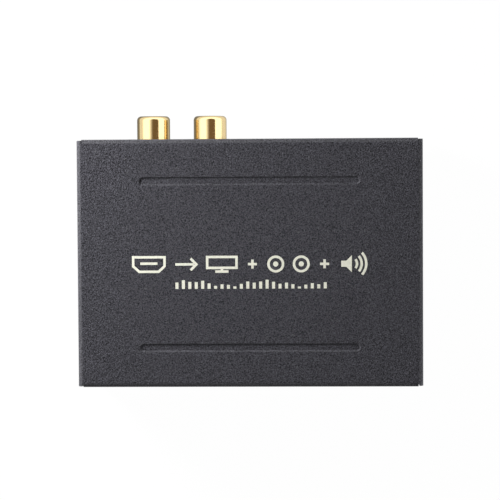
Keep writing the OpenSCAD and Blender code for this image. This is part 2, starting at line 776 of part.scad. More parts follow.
// Drawn barrel whose mouth rolls in, with a seating flange and a ground lug
module phono_barrel() {
    translate([0, 0, phono_axis_h]) turned_y() difference() {
        union() {
            translate([0, -barrel_seat])
                square([barrel_r, barrel_seat + barrel_stand - barrel_round]);
            square([barrel_r - barrel_round, barrel_stand]);
            translate([barrel_r - barrel_round, barrel_stand - barrel_round]) circle(barrel_round);
            translate([0, phono_front - barrel_flange_t]) square([barrel_flange_r, barrel_flange_t]);
            translate([0, phono_front]) square([barrel_root_r, barrel_root_stand - phono_front]);
        }
        translate([0, -barrel_seat - over])
            square([barrel_bore_r, barrel_seat + over + barrel_stand - barrel_round]);
        square([barrel_r - barrel_round, barrel_stand + over]);
        translate([barrel_r - barrel_round, barrel_stand - barrel_round])
            circle(barrel_round - barrel_wall);
    }
    lead(phono_axis_h - barrel_bore_r - barrel_wall / 2) lug_foot(0);
}
module phono_insulator() translate([0, 0, phono_axis_h]) turned_y() difference() {
    translate([0, -barrel_seat]) square([insulator_r, barrel_seat + insulator_front]);
    translate([0, insulator_front - phono_hole_deep - over])
        square([phono_hole_r, phono_hole_deep + 2 * over]);
    translate([0, -barrel_seat - over])
        square([contact_r + fit_gap, insulator_front - phono_hole_deep + barrel_seat + over]);
}
// Sprung centre contact: a slotted tube with a closed end and a tail down through the board
module phono_contact() {
    translate([0, 0, phono_axis_h]) difference() {
        turned_y() difference() {
            translate([0, tail_y]) square([contact_r, contact_front - tail_y]);
            translate([0, -barrel_seat]) square([phono_hole_r, barrel_seat + barrel_stand]);
        }
        for (a = [0, 90]) rotate([0, a, 0]) translate([0, contact_front, 0])
            cube([contact_slot, barrel_seat, 2 * barrel_r], center = true);
    }
    lead(phono_axis_h) tail_foot(0);
}
module phono_barrel_left() color(gold) at_rear(phono_x - phono_pitch / 2) phono_barrel();
module phono_barrel_right() color(gold) at_rear(phono_x + phono_pitch / 2) phono_barrel();
module phono_insulator_left() color("firebrick") at_rear(phono_x - phono_pitch / 2)
    phono_insulator();
module phono_insulator_right() color("white") at_rear(phono_x + phono_pitch / 2)
    phono_insulator();
module phono_centre_contacts() color(gold) for (s = [-1, 1])
    at_rear(phono_x + s * phono_pitch / 2) phono_contact();

// OPTICAL OUTPUT

cavity_back = socket_stand - cavity_deep;
guide_back = cavity_back - guide_wall;
optical_back = guide_back - emitter_t - fit_gap;

module optical_pegs(g) for (s = [-1, 1])
    translate([s * (optical_w / 2 - peg_r), cavity_back + peg_r]) circle(peg_r + g);
module optical_feet(g) for (i = [-1, 0, 1])
    foot_plan(i * lamp_lead_pitch, optical_back + emitter_t / 2, lead_w, lead_w, g);

module optical_housing() color(black) at_rear(optical_x) {
    difference() {
        between_y(optical_back, socket_stand) arch_plate(optical_w / 2, optical_h, optical_round);
        block(pm(cavity_w / 2), [cavity_back, socket_stand + over],
            [cavity_floor, cavity_floor + cavity_h]);
        between_y(guide_back - over, cavity_back + over) translate([0, plug_axis_h])
            circle(guide_r);
        block(pm(cavity_w / 2), [optical_back - over, guide_back], [-over, cavity_h]);
        translate([0, hinge_y, hinge_h]) rotate([0, 90, 0]) {
            cylinder(h = cavity_w, r = knuckle_r + shutter_play, center = true);
            cylinder(h = optical_w + over, r = hinge_pin_r + fit_gap / 2, center = true);
        }
    }
    translate([0, 0, -board_t]) linear_extrude(board_t) optical_pegs(0);
}

// Shutter: a plate that hangs from two knuckles, cut away between them for the spring
spring_r = hinge_pin_r + spring_wire_r + spring_play;
shutter_w = cavity_w - 2 * shutter_play;
knuckle_len = shutter_w * knuckle_share;
module optical_shutter() color(black) at_rear(optical_x) translate([0, hinge_y, hinge_h])
    difference() {
        union() {
            block(pm(shutter_w / 2), pm(shutter_t / 2), [-shutter_len, 0]);
            for (s = [-1, 1]) translate([s * (shutter_w - knuckle_len) / 2, 0, 0])
                rotate([0, 90, 0]) cylinder(h = knuckle_len, r = knuckle_r, center = true);
        }
        rotate([0, 90, 0])
            cylinder(h = cavity_w + over, r = hinge_pin_r + fit_gap, center = true);
        cube([shutter_w - 2 * knuckle_len, 2 * over, 2 * (spring_r + 2 * spring_wire_r)],
            center = true);
        translate([0, shutter_t / 2, (cavity_floor - hinge_h) / 2])
            cube([recess_shares[0] * shutter_w, shutter_t / 2, recess_shares[1] * cavity_h], center = true);
    }
module shutter_pin() color(steel) at_rear(optical_x) translate([0, hinge_y, hinge_h])
    rotate([0, 90, 0]) cylinder(h = optical_w - 2 * fit_gap, r = hinge_pin_r, center = true);

// Torsion spring: one leg on the shutter's back, turns round the pin, one leg on the roof
spring_w = shutter_w - 2 * knuckle_len - 4 * spring_wire_r;
spring_steps = spring_steps_per_turn * spring_turns;
spring_leg_y = -shutter_t / 2 - spring_wire_r - spring_play / 2;
function spring_point(k) = let(a = 360 * spring_turns * k / spring_steps)
    [spring_w * (k / spring_steps - 1 / 2), -spring_r * cos(a), spring_r * sin(a)];
spring_path = concat(
    [[-spring_w / 2, spring_leg_y - spring_r / 4, -cavity_h / 3],
     [-spring_w / 2, spring_leg_y - spring_r / 4, -spring_r]],
    [for (k = [0 : spring_steps]) spring_point(k)],
    [[spring_w / 2, -spring_r - cavity_deep / 4, shutter_t / 2]]
);
module shutter_spring() color(steel) at_rear(optical_x) translate([0, hinge_y, hinge_h])
    tube(spring_path, spring_wire_r, wire_sides);

// A tube of radius r and n sides along a list of points
function unit(v) = v / norm(v);
function tangent(path, i) = unit(path[min(i + 1, len(path) - 1)] - path[max(i - 1, 0)]);
module tube(path, r, n) {
    side = [for (i = [0 : len(path) - 1]) unit(cross(tangent(path, i), tube_up))];
    points = [for (i = [0 : len(path) - 1], j = [0 : n - 1])
        path[i] + r * (cos(360 * j / n) * side[i]
            + sin(360 * j / n) * cross(tangent(path, i), side[i]))];
    last = (len(path) - 1) * n;
    walls = [for (i = [0 : len(path) - 2], j = [0 : n - 1]) each [
        [i * n + j, (i + 1) * n + j, i * n + (j + 1) % n],
        [i * n + (j + 1) % n, (i + 1) * n + j, (i + 1) * n + (j + 1) % n]
    ]];
    ends = [for (j = [1 : n - 2]) each [[0, j, j + 1], [last, last + j + 1, last + j]]];
    polyhedron(points, concat(walls, ends));
}

// Light source behind the guide hole: a block with a domed lens
lens_r = guide_r - lens_play;
module optical_emitter() color("dimgray") at_rear(optical_x) {
    block(pm(cavity_w / 2 - emitter_wall), [optical_back, guide_back - fit_gap],
        [emitter_wall, cavity_h - emitter_wall]);
    translate([0, 0, plug_axis_h]) turned_y() intersection() {
        translate([0, guide_back]) circle(lens_r);
        translate([0, guide_back - emitter_wall]) square([lens_r, guide_wall]);
    }
}
module optical_leads() color(steel) at_rear(optical_x) lead(emitter_wall) optical_feet(0);

// VIDEO SOCKETS

socket_axis_h = shell_lift + shell_t + mouth_h / 2;
// Outline of a socket's opening, wide side up with its lower corners cut, grown by g
module socket_outline(g) translate([0, socket_axis_h]) {
    w = mouth_w / 2 + g;
    h = mouth_h / 2 + g;
    polygon([[-w, h], [w, h], [w, mouth_cut_h - h], [w - mouth_cut_w, -h],
        [mouth_cut_w - w, -h], [-w, mouth_cut_h - h]]);
}
shell_back = socket_stand - shell_len;
tongue_front = socket_stand - tongue_recess;
shell_leg_x = mouth_w / 2 + shell_t / 2;
module shell_feet(g) for (s = [-1, 1], y = [shell_back + shell_leg_w, -behind_panel - 2 * shell_leg_w])
    foot_plan(s * shell_leg_x, y, shell_t, shell_leg_w, g);

module video_shell() {
    difference() {
        union() {
            between_y(shell_back, socket_stand) socket_outline(shell_t);
            between_y(socket_stand - flare_t, socket_stand) socket_outline(shell_t + flare);
        }
        between_y(shell_back - over, socket_stand + over) socket_outline(0);
        // Sprung fingers cut free in the roof
        for (s = [-1, 1]) translate([s * mouth_w / 4, socket_stand - window_inset, socket_axis_h])
            difference() {
                block(pm(window_w / 2), [-window_len, 0], [0, mouth_h]);
                block(pm(window_w / 2 - window_slot), [-window_len - over, -window_slot],
                    [-over, mouth_h + over]);
            }
    }
    lead(socket_axis_h) shell_feet(0);
}
// Tongue and its base, which fills the back of the shell
module video_tongue() {
    between_y(shell_back, shell_back + tongue_base) socket_outline(-fit_gap);
    between_y(shell_back, tongue_front) translate([0, socket_axis_h])
        square([tongue_w, tongue_t], center = true);
    between_y(shell_back, tongue_front - tongue_recess) translate([0, socket_axis_h])
        square([tongue_w + 2 * tongue_step_w, tongue_step_h], center = true);
}
// Nineteen contacts: ten on the tongue's upper face and nine between them on its lower face
upper_count = 10;
module video_contacts() for (row = [0, 1], i = [0 : upper_count - 1 - row])
    translate([(i - (upper_count - 1 - row) / 2) * contact_pitch, 0, 0]) {
        face = tongue_t / 2 + (row == 0 ? 0 : contact_t);
        z = socket_axis_h + (row == 0 ? face : -face);
        block(pm(contact_w / 2), [shell_back + tongue_base, tongue_front - contact_back],
            [z, z + contact_t]);
        tail = shell_back - contact_back * (1 + row);
        block(pm(contact_w / 2), [tail - contact_t, shell_back], [z, z + contact_t]);
        block(pm(contact_w / 2), [tail - contact_t, tail], [0, z + contact_t]);
    }

module video_out_shell() color(steel) at_rear(video_out_x) video_shell();
module video_out_tongue() color(black) at_rear(video_out_x) video_tongue();
module video_out_contacts() color(gold) at_rear(video_out_x) video_contacts();
module video_in_shell() color(steel) at_front(video_in_x) video_shell();
module video_in_tongue() color(black) at_front(video_in_x) video_tongue();
module video_in_contacts() color(gold) at_front(video_in_x) video_contacts();

// POWER JACK

power_bore_back = socket_stand - power_bore_deep;
power_wall_back = power_bore_back - power_wall;
power_back = socket_stand - power_deep;
jack_r = power_bore_r + jack_side;
power_foot_y = power_wall_back - fit_gap - lug_t / 2;
leaf_foot_y = power_bore_back + lug_t;
module power_pin_foot(g) foot_plan(0, power_foot_y, leaf_w, lug_t, g);
module power_leaf_foot(g) foot_plan(0, leaf_foot_y, leaf_w, leaf_t, g);

module power_jack_housing() color(black) at_front(power_x) difference() {
    union() {
        between_y(socket_stand - collar_t, socket_stand)
            arch_plate(collar_w / 2, collar_h, collar_round);
        between_y(power_back, socket_stand - collar_t / 2) {
            translate([0, power_axis_h]) circle(jack_r);
            translate([-jack_r, 0]) square([2 * jack_r, power_axis_h]);
        }
    }
    between_y(power_bore_back, socket_stand + over) translate([0, power_axis_h])
        circle(power_bore_r);
    between_y(power_wall_back - over, power_bore_back + over) translate([0, power_axis_h])
        circle(power_root_r + fit_gap);
    block(pm(power_bore_r), [power_back - over, power_wall_back],
        [-over, power_axis_h + power_bore_r]);
    block(pm(leaf_w / 2 + lead_play), [power_bore_back, socket_stand - collar_t - lug_t],
        [-over, power_axis_h - power_bore_r / 2]);
}
module power_jack_pin() color(steel) at_front(power_x) {
    translate([0, 0, power_axis_h]) turned_y() {
        translate([0, power_foot_y])
            square([power_pin_r, socket_stand - power_pin_recess - power_pin_r - power_foot_y]);
        intersection() {
            translate([0, socket_stand - power_pin_recess - power_pin_r]) circle(power_pin_r);
            translate([0, power_foot_y]) square([power_pin_r, power_deep]);
        }
        translate([0, power_foot_y])
            square([power_root_r, power_bore_back + power_root_stand - power_foot_y]);
        translate([0, power_foot_y - lug_t / 2]) square([power_head_r, lug_t]);
    }
    lead(power_axis_h) power_pin_foot(0);
}
// Sprung leaf under the plug's sleeve, folded down into the board
leaf_top = power_axis_h - power_bore_r + leaf_lift;
module power_jack_spring() color(steel) at_front(power_x) {
    block(pm(leaf_w / 2), [leaf_foot_y - leaf_t / 2, socket_stand - collar_t - 2 * lug_t],
        [leaf_top - leaf_t, leaf_top]);
    lead(leaf_top) power_leaf_foot(0);
}

// STATUS LAMP

lamp_back = -behind_panel - lamp_holder_t;
module lamp_feet(g) for (s = [-1, 1]) foot_plan(s * lamp_lead_pitch / 2,
    lamp_back - lamp_flange_t - lamp_lead_back + lead_w / 2, lead_w, lead_w, g);
module status_lamp() color("red") at_front(lamp_x) translate([0, 0, lamp_axis_h])
    turned_y() {
        translate([0, lamp_back - lamp_flange_t]) square([lamp_flange_r, lamp_flange_t]);
        translate([0, lamp_back]) square([lamp_r, -lamp_back - lamp_r / 2]);
        intersection() {
            translate([0, -lamp_r / 2]) circle(lamp_r);
            translate([0, -lamp_r / 2]) square([lamp_r, lamp_r]);
        }
    }
module lamp_holder() color(black) at_front(lamp_x)
    between_y(lamp_back, -behind_panel) difference() {
        arch_plate(lamp_holder_w / 2, lamp_holder_h, lamp_holder_w / 4);
        translate([0, lamp_axis_h]) circle(lamp_r + fit_gap);
    }
module lamp_leads() color(steel) at_front(lamp_x) {
    lead(lamp_axis_h) lamp_feet(0);
    for (s = [-1, 1]) translate([s * lamp_lead_pitch / 2, 0, 0]) block(pm(lead_w / 2),
        [lamp_back - lamp_flange_t - lamp_lead_back, lamp_back - lamp_flange_t],
        [lamp_axis_h - lead_w / 2, lamp_axis_h + lead_w / 2]);
}

// SLIDE SWITCH

switch_axis_h = switch_lift + switch_h / 2;
frame_front = -sheet_t - frame_back;
switch_front = frame_front - frame_t - fit_gap;
switch_back = switch_front - switch_deep;
carrier_front = switch_front - slide_play;
channel_back = carrier_front - carrier_t - wiper_t - slide_play;
module switch_feet(g) for (i = [0 : terminal_count - 1])
    foot_plan((i - (terminal_count - 1) / 2) * terminal_pitch, switch_back - lug_t, lead_w, lead_w, g);
module frame_feet(g) for (s = [-1, 1])
    foot_plan(s * (switch_w / 2 - lug_t), frame_front - frame_leg + frame_t / 2, lug_t, frame_t, g);

module switch_base() color(black) at_front(switch_x) difference() {
    block(pm(switch_w / 2), [switch_back, switch_front], [switch_lift, switch_lift + switch_h]);
    translate([0, 0, switch_axis_h]) block(pm(carrier_w / 2 + knob_travel + slide_play),
        [channel_back, switch_front + over], pm(carrier_h / 2 + slide_play));
}
// Metal frame: a front web with a slot, folded back over the base's top and underside
module switch_frame() color(steel) at_front(switch_x) {
    translate([0, frame_front, switch_axis_h]) difference() {
        mirror([0, 1, 0]) along_x(switch_w) rotate(-90)
            channel_section(switch_h / 2 + fit_gap + frame_t, frame_leg, frame_t, frame_bend);
        cube([knob_w + 2 * (knob_travel + slide_play), frame_leg, knob_h + 2 * slide_play],
            center = true);
    }
    lead(switch_lift - fit_gap - frame_t / 2) frame_feet(0);
}
module switch_terminals() color(steel) at_front(switch_x) {
    lead(switch_lift + lug_t) switch_feet(0);
    for (i = [0 : terminal_count - 1])
        translate([(i - (terminal_count - 1) / 2) * terminal_pitch, 0, 0])
            block(pm(lead_w / 2), [switch_back - lug_t, switch_back],
                [switch_lift + lug_t - lead_w, switch_lift + lug_t]);
}
knob_front = lip_reach + knob_stand;
module switch_knob() color(black) at_front(switch_x) translate([0, 0, switch_axis_h])
    difference() {
        union() {
            block(pm(carrier_w / 2), [carrier_front - carrier_t, carrier_front], pm(carrier_h / 2));
            block(pm(knob_w / 2), [carrier_front - carrier_t, knob_front], pm(knob_h / 2));
        }
        for (i = [0 : rib_count - 1])
            translate([(i - (rib_count - 1) / 2) * knob_w / (rib_count + 1), knob_front, 0])
                cube([knob_w / (2 * rib_count + 2), 2 * rib_deep, knob_h + over], center = true);
    }
module switch_wiper() color(gold) at_front(switch_x) translate([0, 0, switch_axis_h])
    block(pm(carrier_w / 2 - wiper_t), [carrier_front - carrier_t - wiper_t, carrier_front - carrier_t],
        pm(carrier_h / 4));

top_cover();
base_tray();
board_standoffs();
cover_screws();
board_screws();
rubber_feet();
circuit_board();
processor_chip();
processor_leads();
audio_chips();
audio_chip_leads();
voltage_regulators();
regulator_tabs();
power_inductor();
capacitor_cans();
capacitor_bases();
crystal_can();
power_diode();
protection_arrays();
chip_capacitors();
chip_resistors();
chip_end_caps();
phono_housing();
phono_barrel_left();
phono_barrel_right();
phono_insulator_left();
phono_insulator_right();
phono_centre_contacts();
optical_housing();
optical_shutter();
shutter_pin();
shutter_spring();
optical_emitter();
optical_leads();
video_out_shell();
video_out_tongue();
video_out_contacts();
video_in_shell();
video_in_tongue();
video_in_contacts();
power_jack_housing();
power_jack_pin();
power_jack_spring();
status_lamp();
lamp_holder();
lamp_leads();
switch_base();
switch_frame();
switch_terminals();
switch_knob();
switch_wiper();
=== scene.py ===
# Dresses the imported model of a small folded-steel box that takes the sound out of a digital
# video link. Every length is in metres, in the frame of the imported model.
import math

import bmesh
import bpy
from bpy.props import FloatProperty, FloatVectorProperty, IntProperty, PointerProperty
from mathutils import Matrix, Vector


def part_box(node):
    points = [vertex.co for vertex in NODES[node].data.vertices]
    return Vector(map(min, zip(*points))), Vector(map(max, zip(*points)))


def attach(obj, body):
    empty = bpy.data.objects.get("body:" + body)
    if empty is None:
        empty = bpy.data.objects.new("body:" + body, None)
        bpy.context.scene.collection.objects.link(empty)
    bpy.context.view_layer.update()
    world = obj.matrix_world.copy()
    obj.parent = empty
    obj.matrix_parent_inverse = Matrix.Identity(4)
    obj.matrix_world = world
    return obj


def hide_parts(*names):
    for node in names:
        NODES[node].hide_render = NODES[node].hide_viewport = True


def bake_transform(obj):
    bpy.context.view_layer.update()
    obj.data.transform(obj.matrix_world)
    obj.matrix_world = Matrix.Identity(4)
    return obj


bl_info = {
    "name": "Sound splitter box",
    "version": (1, 0, 0),
    "blender": (4, 5, 0),
    "location": "View3D > Sidebar > Splitter box",
    "description": "Finishes, fasteners, print and studio for a folded-steel sound splitter box",
    "category": "Object",
}

MM = 0.001
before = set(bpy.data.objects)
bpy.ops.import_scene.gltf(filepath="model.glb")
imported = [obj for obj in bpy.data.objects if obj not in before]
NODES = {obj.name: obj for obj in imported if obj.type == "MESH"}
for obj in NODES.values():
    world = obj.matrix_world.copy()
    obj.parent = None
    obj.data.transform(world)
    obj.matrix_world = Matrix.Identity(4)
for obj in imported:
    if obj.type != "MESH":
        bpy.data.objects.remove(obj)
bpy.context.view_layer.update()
COVER_LOW, COVER_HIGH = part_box("top_cover")
CASE_Y = (COVER_LOW.y + COVER_HIGH.y) / 2
HINGE = Vector((0.005, 0.026925, 0.01755))  # on the line of the shutter's hinge

# The studio: the camera stands where the photograph's did
CAMERA_PLACE = Vector((0.0191, CASE_Y + 0.0253, COVER_HIGH.z + 0.5))
CAMERA_TURNS = (("Z", -0.35), ("Y", 2.16), ("X", -2.53))  # axis and degrees
GAP_PLACE = Vector((0.09, CASE_Y + 0.0253, 0.58))
GAP_EDGE = (1.3, 1.3, 1.3, 1.0)  # colour that the gap's left side fades to
KEY_PLACE, KEY_SIZE = (-0.19, CASE_Y + 0.12, 0.11), 0.08
RIM_PLACE, RIM_SIZE = (0.24, CASE_Y - 0.04, 0.036), 0.05
FLOOR_REACH, FLOOR_Z = 3.0, -0.05 * MM
SHADE_PLACE = (-0.04, CASE_Y + 0.03, 0.0)  # where metal mirrors the floor dim
SHADE_RADII = (0.02, 0.065)  # dimmest within the first, bright beyond the second

# Screws: radius and height of the heads' profiles from the crown down, in millimetres
COVER_HEAD = ((0, 0), (2.32, -0.01), (2.48, -0.08), (1.5, -1))
BOARD_HEAD = ((0, 0), (1.1, -0.12), (2.0, -0.5), (2.6, -1.1), (2.72, -1.5), (2.72, -2), (1.5, -2))
SCREW_RADIUS, COVER_SCREW_LENGTH = 1.45 * MM, 5 * MM
RECESS_REACH, RECESS_WIDTH = 1.45 * MM, 0.62 * MM

# Print: how far the ink goes into the cover and stands above it, and the two rows' places
INK_SINK, INK_RISE = 0.01 * MM, 0.015 * MM
ROW_MIDDLE = Vector((0, CASE_Y - 0.2 * MM))
BARS_MIDDLE = Vector((0.3 * MM, CASE_Y - 5.2 * MM))
BARS_WIDTH, BARS_HEIGHT, BAR_WIDTH = 37.6 * MM, 2.2 * MM, 0.75 * MM

# Colours of small parts
SCREW_BLACK = (0.05, 0.05, 0.055)
EMITTER_RED = (0.25, 0.02, 0.02)
CHIP_RESIN = (0.026, 0.026, 0.029)
BASE_BLACK = (0.025, 0.025, 0.027)
TAN_CERAMIC = (0.4, 0.27, 0.16)


# ---------------------------------------------------------------------------
# Sizes and colours that a user would change


def length(name, default, description):
    """A property for a length in metres."""
    return FloatProperty(
        name=name, default=default, description=description, min=0.0, precision=5, unit="LENGTH"
    )


def factor(name, default, description, top=1.0):
    """A property for a plain share or strength."""
    return FloatProperty(name=name, default=default, description=description, min=0.0, max=top)


def colour(name, default, description):
    """A property for a linear colour."""
    return FloatVectorProperty(
        name=name, default=default, description=description, subtype="COLOR", min=0.0, max=1.0
    )


class StageSettings(bpy.types.PropertyGroup):
    """Camera, lamps and backdrop."""

    floor: colour("Floor", (0.9, 0.9, 0.9), "Colour of the floor where light falls on it")
    floor_glow: factor("Floor glow", 0.985, "Share of the floor that shows as plain white")
    floor_shade: factor("Floor shade", 0.22, "Brightness of the mirrored floor beside the jacks")
    ambient: factor("Ambient", 0.24, "Strength of the light from all round", 4.0)
    tent: factor("Tent", 2.0, "Strength of the pale tent that metal mirrors overhead", 4.0)
    gap: colour("Gap", (0.19, 0.13, 0.078), "Colour of the gap in the tent, round the camera")
    gap_radius: length("Gap radius", 0.36, "Radius of that gap")
    key_power: factor("Key power", 1.87, "Power of the near soft lamp, low on the left", 50.0)
    rim_power: factor("Rim power", 0.5, "Power of the small lamp on the case's right", 50.0)
    focal: FloatProperty(
        name="Focal length", default=145.3, min=20, max=400, description="Lens, in millimetres"
    )


class CoatSettings(bpy.types.PropertyGroup):
    """The textured coat of the cover and tray."""

    coat: colour("Coat", (0.037, 0.0365, 0.0425), "Colour of the powder coat")
    fleck: colour("Fleck", (0.075, 0.075, 0.08), "Colour of the brighter grains")
    # Pale colour of the edges and folds: on the edges partly wear and partly a painted highlight,
    # on the folds a painted highlight of the bends
    worn_and_lit_edge: colour("Worn and lit edge", (0.11, 0.11, 0.115), "Colour where the coat is thin, on the folds")
    grain: length("Grain", 0.32 * MM, "Size of one grain of the texture")
    depth: length("Depth", 0.26 * MM, "Height of the grains")
    roughness: factor("Roughness", 0.55, "Roughness of the coat")


class PrintSettings(bpy.types.PropertyGroup):
    """The pale pictograms on the cover."""

    ink: colour("Ink", (0.58, 0.575, 0.49), "Colour of the ink")
    stroke: length("Stroke", 0.62 * MM, "Width of the drawn lines")
    height: length("Height", 4.24 * MM, "Height of the row of pictograms")
    width: length("Width", 58.6 * MM, "Width of the row of pictograms")
    bars: IntProperty(
        name="Bars", default=24, min=4, max=60, description="Sound level bars under the row"
    )


class MetalSettings(bpy.types.PropertyGroup):
    """Plated and bare metals."""

    gold: colour("Gold", (0.84, 0.65, 0.34), "Colour of the gold plate")
    gold_roughness: factor("Gold roughness", 0.14, "Roughness of the gold plate")
    plate: colour("Plate", (0.5, 0.5, 0.51), "Colour of bright plated steel")
    plate_roughness: factor("Plate roughness", 0.28, "Roughness of plated steel")
    tin: colour("Tin", (0.48, 0.48, 0.465), "Colour of tinned leads")
    thread_pitch: length("Thread pitch", 0.5 * MM, "Distance between two turns of a screw's thread")


class PlasticSettings(bpy.types.PropertyGroup):
    """Moulded plastics, resins and rubber."""

    black: colour("Black", (0.02, 0.02, 0.022), "Colour of the black mouldings")
    red: colour("Red", (0.5, 0.022, 0.018), "Colour of the right channel's insulator")
    white: colour("White", (0.78, 0.77, 0.74), "Colour of the left channel's insulator")
    rubber: colour("Rubber", (0.022, 0.022, 0.022), "Colour of the feet")
    lens: colour("Lens", (0.5, 0.03, 0.02), "Colour of the lamp's lens")


class BoardSettings(bpy.types.PropertyGroup):
    """The circuit board and what stands on it."""

    mask: colour("Solder mask", (0.012, 0.1, 0.04), "Colour of the solder mask")
    trace: colour("Traces", (0.03, 0.19, 0.075), "Colour of the mask over copper")
    trace_width: length("Trace width", 0.3 * MM, "Width of a copper trace")
    can: colour("Cans", (0.52, 0.52, 0.54), "Colour of the capacitors' cans")


# ---------------------------------------------------------------------------
# Node trees


def add(tree, kind, x, y, **settings):
    """A new node at (x, y), with its settings."""
    node = tree.nodes.new(kind)
    node.location = (x, y)
    for name, value in settings.items():
        setattr(node, name, value)
    return node


def join(tree, value, socket):
    """Links a socket, or sets a plain value."""
    if value is None:
        return
    if isinstance(value, bpy.types.NodeSocket):
        tree.links.new(value, socket)
    else:
        socket.default_value = value


def feed(tree, node, **values):
    """Joins values to a node's named inputs, with _ for a space; gives its outputs."""
    for name, value in values.items():
        join(tree, value, node.inputs[name.replace("_", " ")])
    return node.outputs


def fill(tree, node, *values):
    """Joins values to a node's first inputs in their order; gives its outputs."""
    for socket, value in zip(node.inputs, values):
        join(tree, value, socket)
    return node.outputs


def math_node(tree, operation, x, y, a, b=None):
    """A Math node whose inputs are sockets or plain numbers; gives its output."""
    return fill(tree, add(tree, "ShaderNodeMath", x, y, operation=operation), a, b)[0]


def vector_node(tree, operation, x, y, a, b=None):
    """A Vector Math node; gives the number of a length or dot product, or else the vector."""
    outputs = fill(tree, add(tree, "ShaderNodeVectorMath", x, y, operation=operation), a, b)
    return outputs["Value" if operation in ("LENGTH", "DOT_PRODUCT") else "Vector"]


def split(tree, x, y, vector):
    """The X, Y and Z outputs of a vector."""
    return fill(tree, add(tree, "ShaderNodeSeparateXYZ", x, y), vector)


def noise(tree, x, y, vector, **values):
    """Noise over a place, of size 1 unless its Scale is given; gives its value."""
    node = add(tree, "ShaderNodeTexNoise", x, y)
    return feed(tree, node, **{"Vector": vector, "Scale": 1.0, **values})["Fac"]


def mix(tree, x, y, mask, a, b, kind="RGBA"):
    """The colour, or with kind FLOAT the number, a where the mask is 0 and b where it is 1."""
    first, result = (6, 2) if kind == "RGBA" else (2, 0)
    node = add(tree, "ShaderNodeMix", x, y, data_type=kind)
    join(tree, mask, node.inputs["Factor"])
    join(tree, a, node.inputs[first])
    join(tree, b, node.inputs[first + 1])
    return node.outputs[result]


def ramp(tree, x, y, value, low, high, to_low=0.0, to_high=1.0, smooth=True):
    """A Map Range node; gives its output."""
    kind = "SMOOTHSTEP" if smooth else "LINEAR"
    node = add(tree, "ShaderNodeMapRange", x, y, interpolation_type=kind)
    return fill(tree, node, value, low, high, to_low, to_high)[0]


def scaled(tree, x, y, vector, size):
    """The vector in units of size."""
    node = add(tree, "ShaderNodeVectorMath", x, y, operation="SCALE")
    share = math_node(tree, "DIVIDE", x - 180, y - 120, 1.0, size)
    return feed(tree, node, Vector=vector, Scale=share)[0]


def node_group(name, **sizes):
    """Makes a function that builds nodes into one that gives them as a node group, built once.

    The group's inputs are a Vector and the sizes, its outputs the numbers that the function gives.
    """

    def wrap(build):
        def give():
            if name in bpy.data.node_groups:
                return bpy.data.node_groups[name]
            tree = bpy.data.node_groups.new(name, "ShaderNodeTree")
            tree.interface.new_socket("Vector", in_out="INPUT", socket_type="NodeSocketVector")
            for label, default in sizes.items():
                socket = tree.interface.new_socket(
                    label, in_out="INPUT", socket_type="NodeSocketFloat"
                )
                socket.default_value = default
            made = build(tree, add(tree, "NodeGroupInput", -900, 0).outputs)
            for label in made:
                tree.interface.new_socket(label, in_out="OUTPUT", socket_type="NodeSocketFloat")
            feed(tree, add(tree, "NodeGroupOutput", 700, 0), **made)
            return tree

        return give

    return wrap


def use(tree, which, x, y, **values):
    """Places a group in a material with its own values; gives its outputs."""
    return feed(tree, add(tree, "ShaderNodeGroup", x, y, node_tree=which), **values)


@node_group("Sandy grain", Size=0.4 * MM)
def sand_group(tree, given):
    """Sandy grain of a coat: its height, the few brighter grains, and its dark and light tone."""
    place = scaled(tree, -500, 0, given["Vector"], given["Size"])
    fine = noise(tree, -300, 150, place, Detail=3.0, Roughness=0.65)
    cells = add(tree, "ShaderNodeTexVoronoi", -300, -100, feature="SMOOTH_F1")
    depth = feed(tree, cells, Vector=place, Scale=0.9)["Distance"]
    patches = noise(tree, -300, -350, place, Scale=0.72, Detail=2.0)
    round_tops = math_node(tree, "MULTIPLY", -60, -100, depth, -0.55)
    return {
        "Height": math_node(tree, "ADD", 120, 50, fine, round_tops),
        "Flecks": ramp(tree, 120, -250, patches, 0.62, 0.78),
        "Tone": ramp(tree, 120, -420, fine, 0.32, 0.68, smooth=False),
    }


@node_group("Edge wear and highlight", Width=0.3 * MM, Patch=2 * MM)
def edge_wear_and_highlight_group(tree, given):
    """Mask of the outside edges, broken up by noise, partly wear and partly a painted highlight;
    and mask of the bent folds, for a painted highlight of the bends.
    """
    rounded = feed(tree, add(tree, "ShaderNodeBevel", -600, 200, samples=6), Radius=given["Width"])
    normal = add(tree, "ShaderNodeNewGeometry", -600, 0).outputs["Normal"]
    dot = vector_node(tree, "DOT_PRODUCT", -400, 100, rounded[0], normal)
    turned = ramp(tree, -200, 100, dot, 0.995, 0.86)
    place = scaled(tree, -560, -250, given["Vector"], given["Patch"])
    broken = ramp(tree, -200, -250, noise(tree, -400, -250, place), 0.35, 0.6)
    # Folds: faces that lean away from the case's own directions; their mask is for a painted
    # highlight on the bends
    parts = split(tree, -200, -450, vector_node(tree, "ABSOLUTE", -400, -450, normal))
    most = math_node(tree, "MAXIMUM", 0, -450, parts["X"], parts["Y"])
    most = math_node(tree, "MAXIMUM", 160, -450, most, parts["Z"])
    rise = ramp(tree, 320, -400, most, 0.995, 0.93)
    fall = ramp(tree, 320, -560, most, 0.9, 0.72, 1.0, 0.3)
    return {
        "Mask": math_node(tree, "MULTIPLY", 100, 0, turned, broken),
        "Fold": math_node(tree, "MULTIPLY", 480, -450, rise, fall),
    }


@node_group("Tone drift", Size=3 * MM)
def drift_group(tree, given):
    """Slow and fast change of tone over a surface, round a middle of 0.5."""
    place = scaled(tree, -500, 0, given["Vector"], given["Size"])
    waves = noise(tree, -300, 100, place, Detail=5.0, Roughness=0.6)
    return {"Tone": ramp(tree, 0, 100, waves, 0.25, 0.75, smooth=False)}


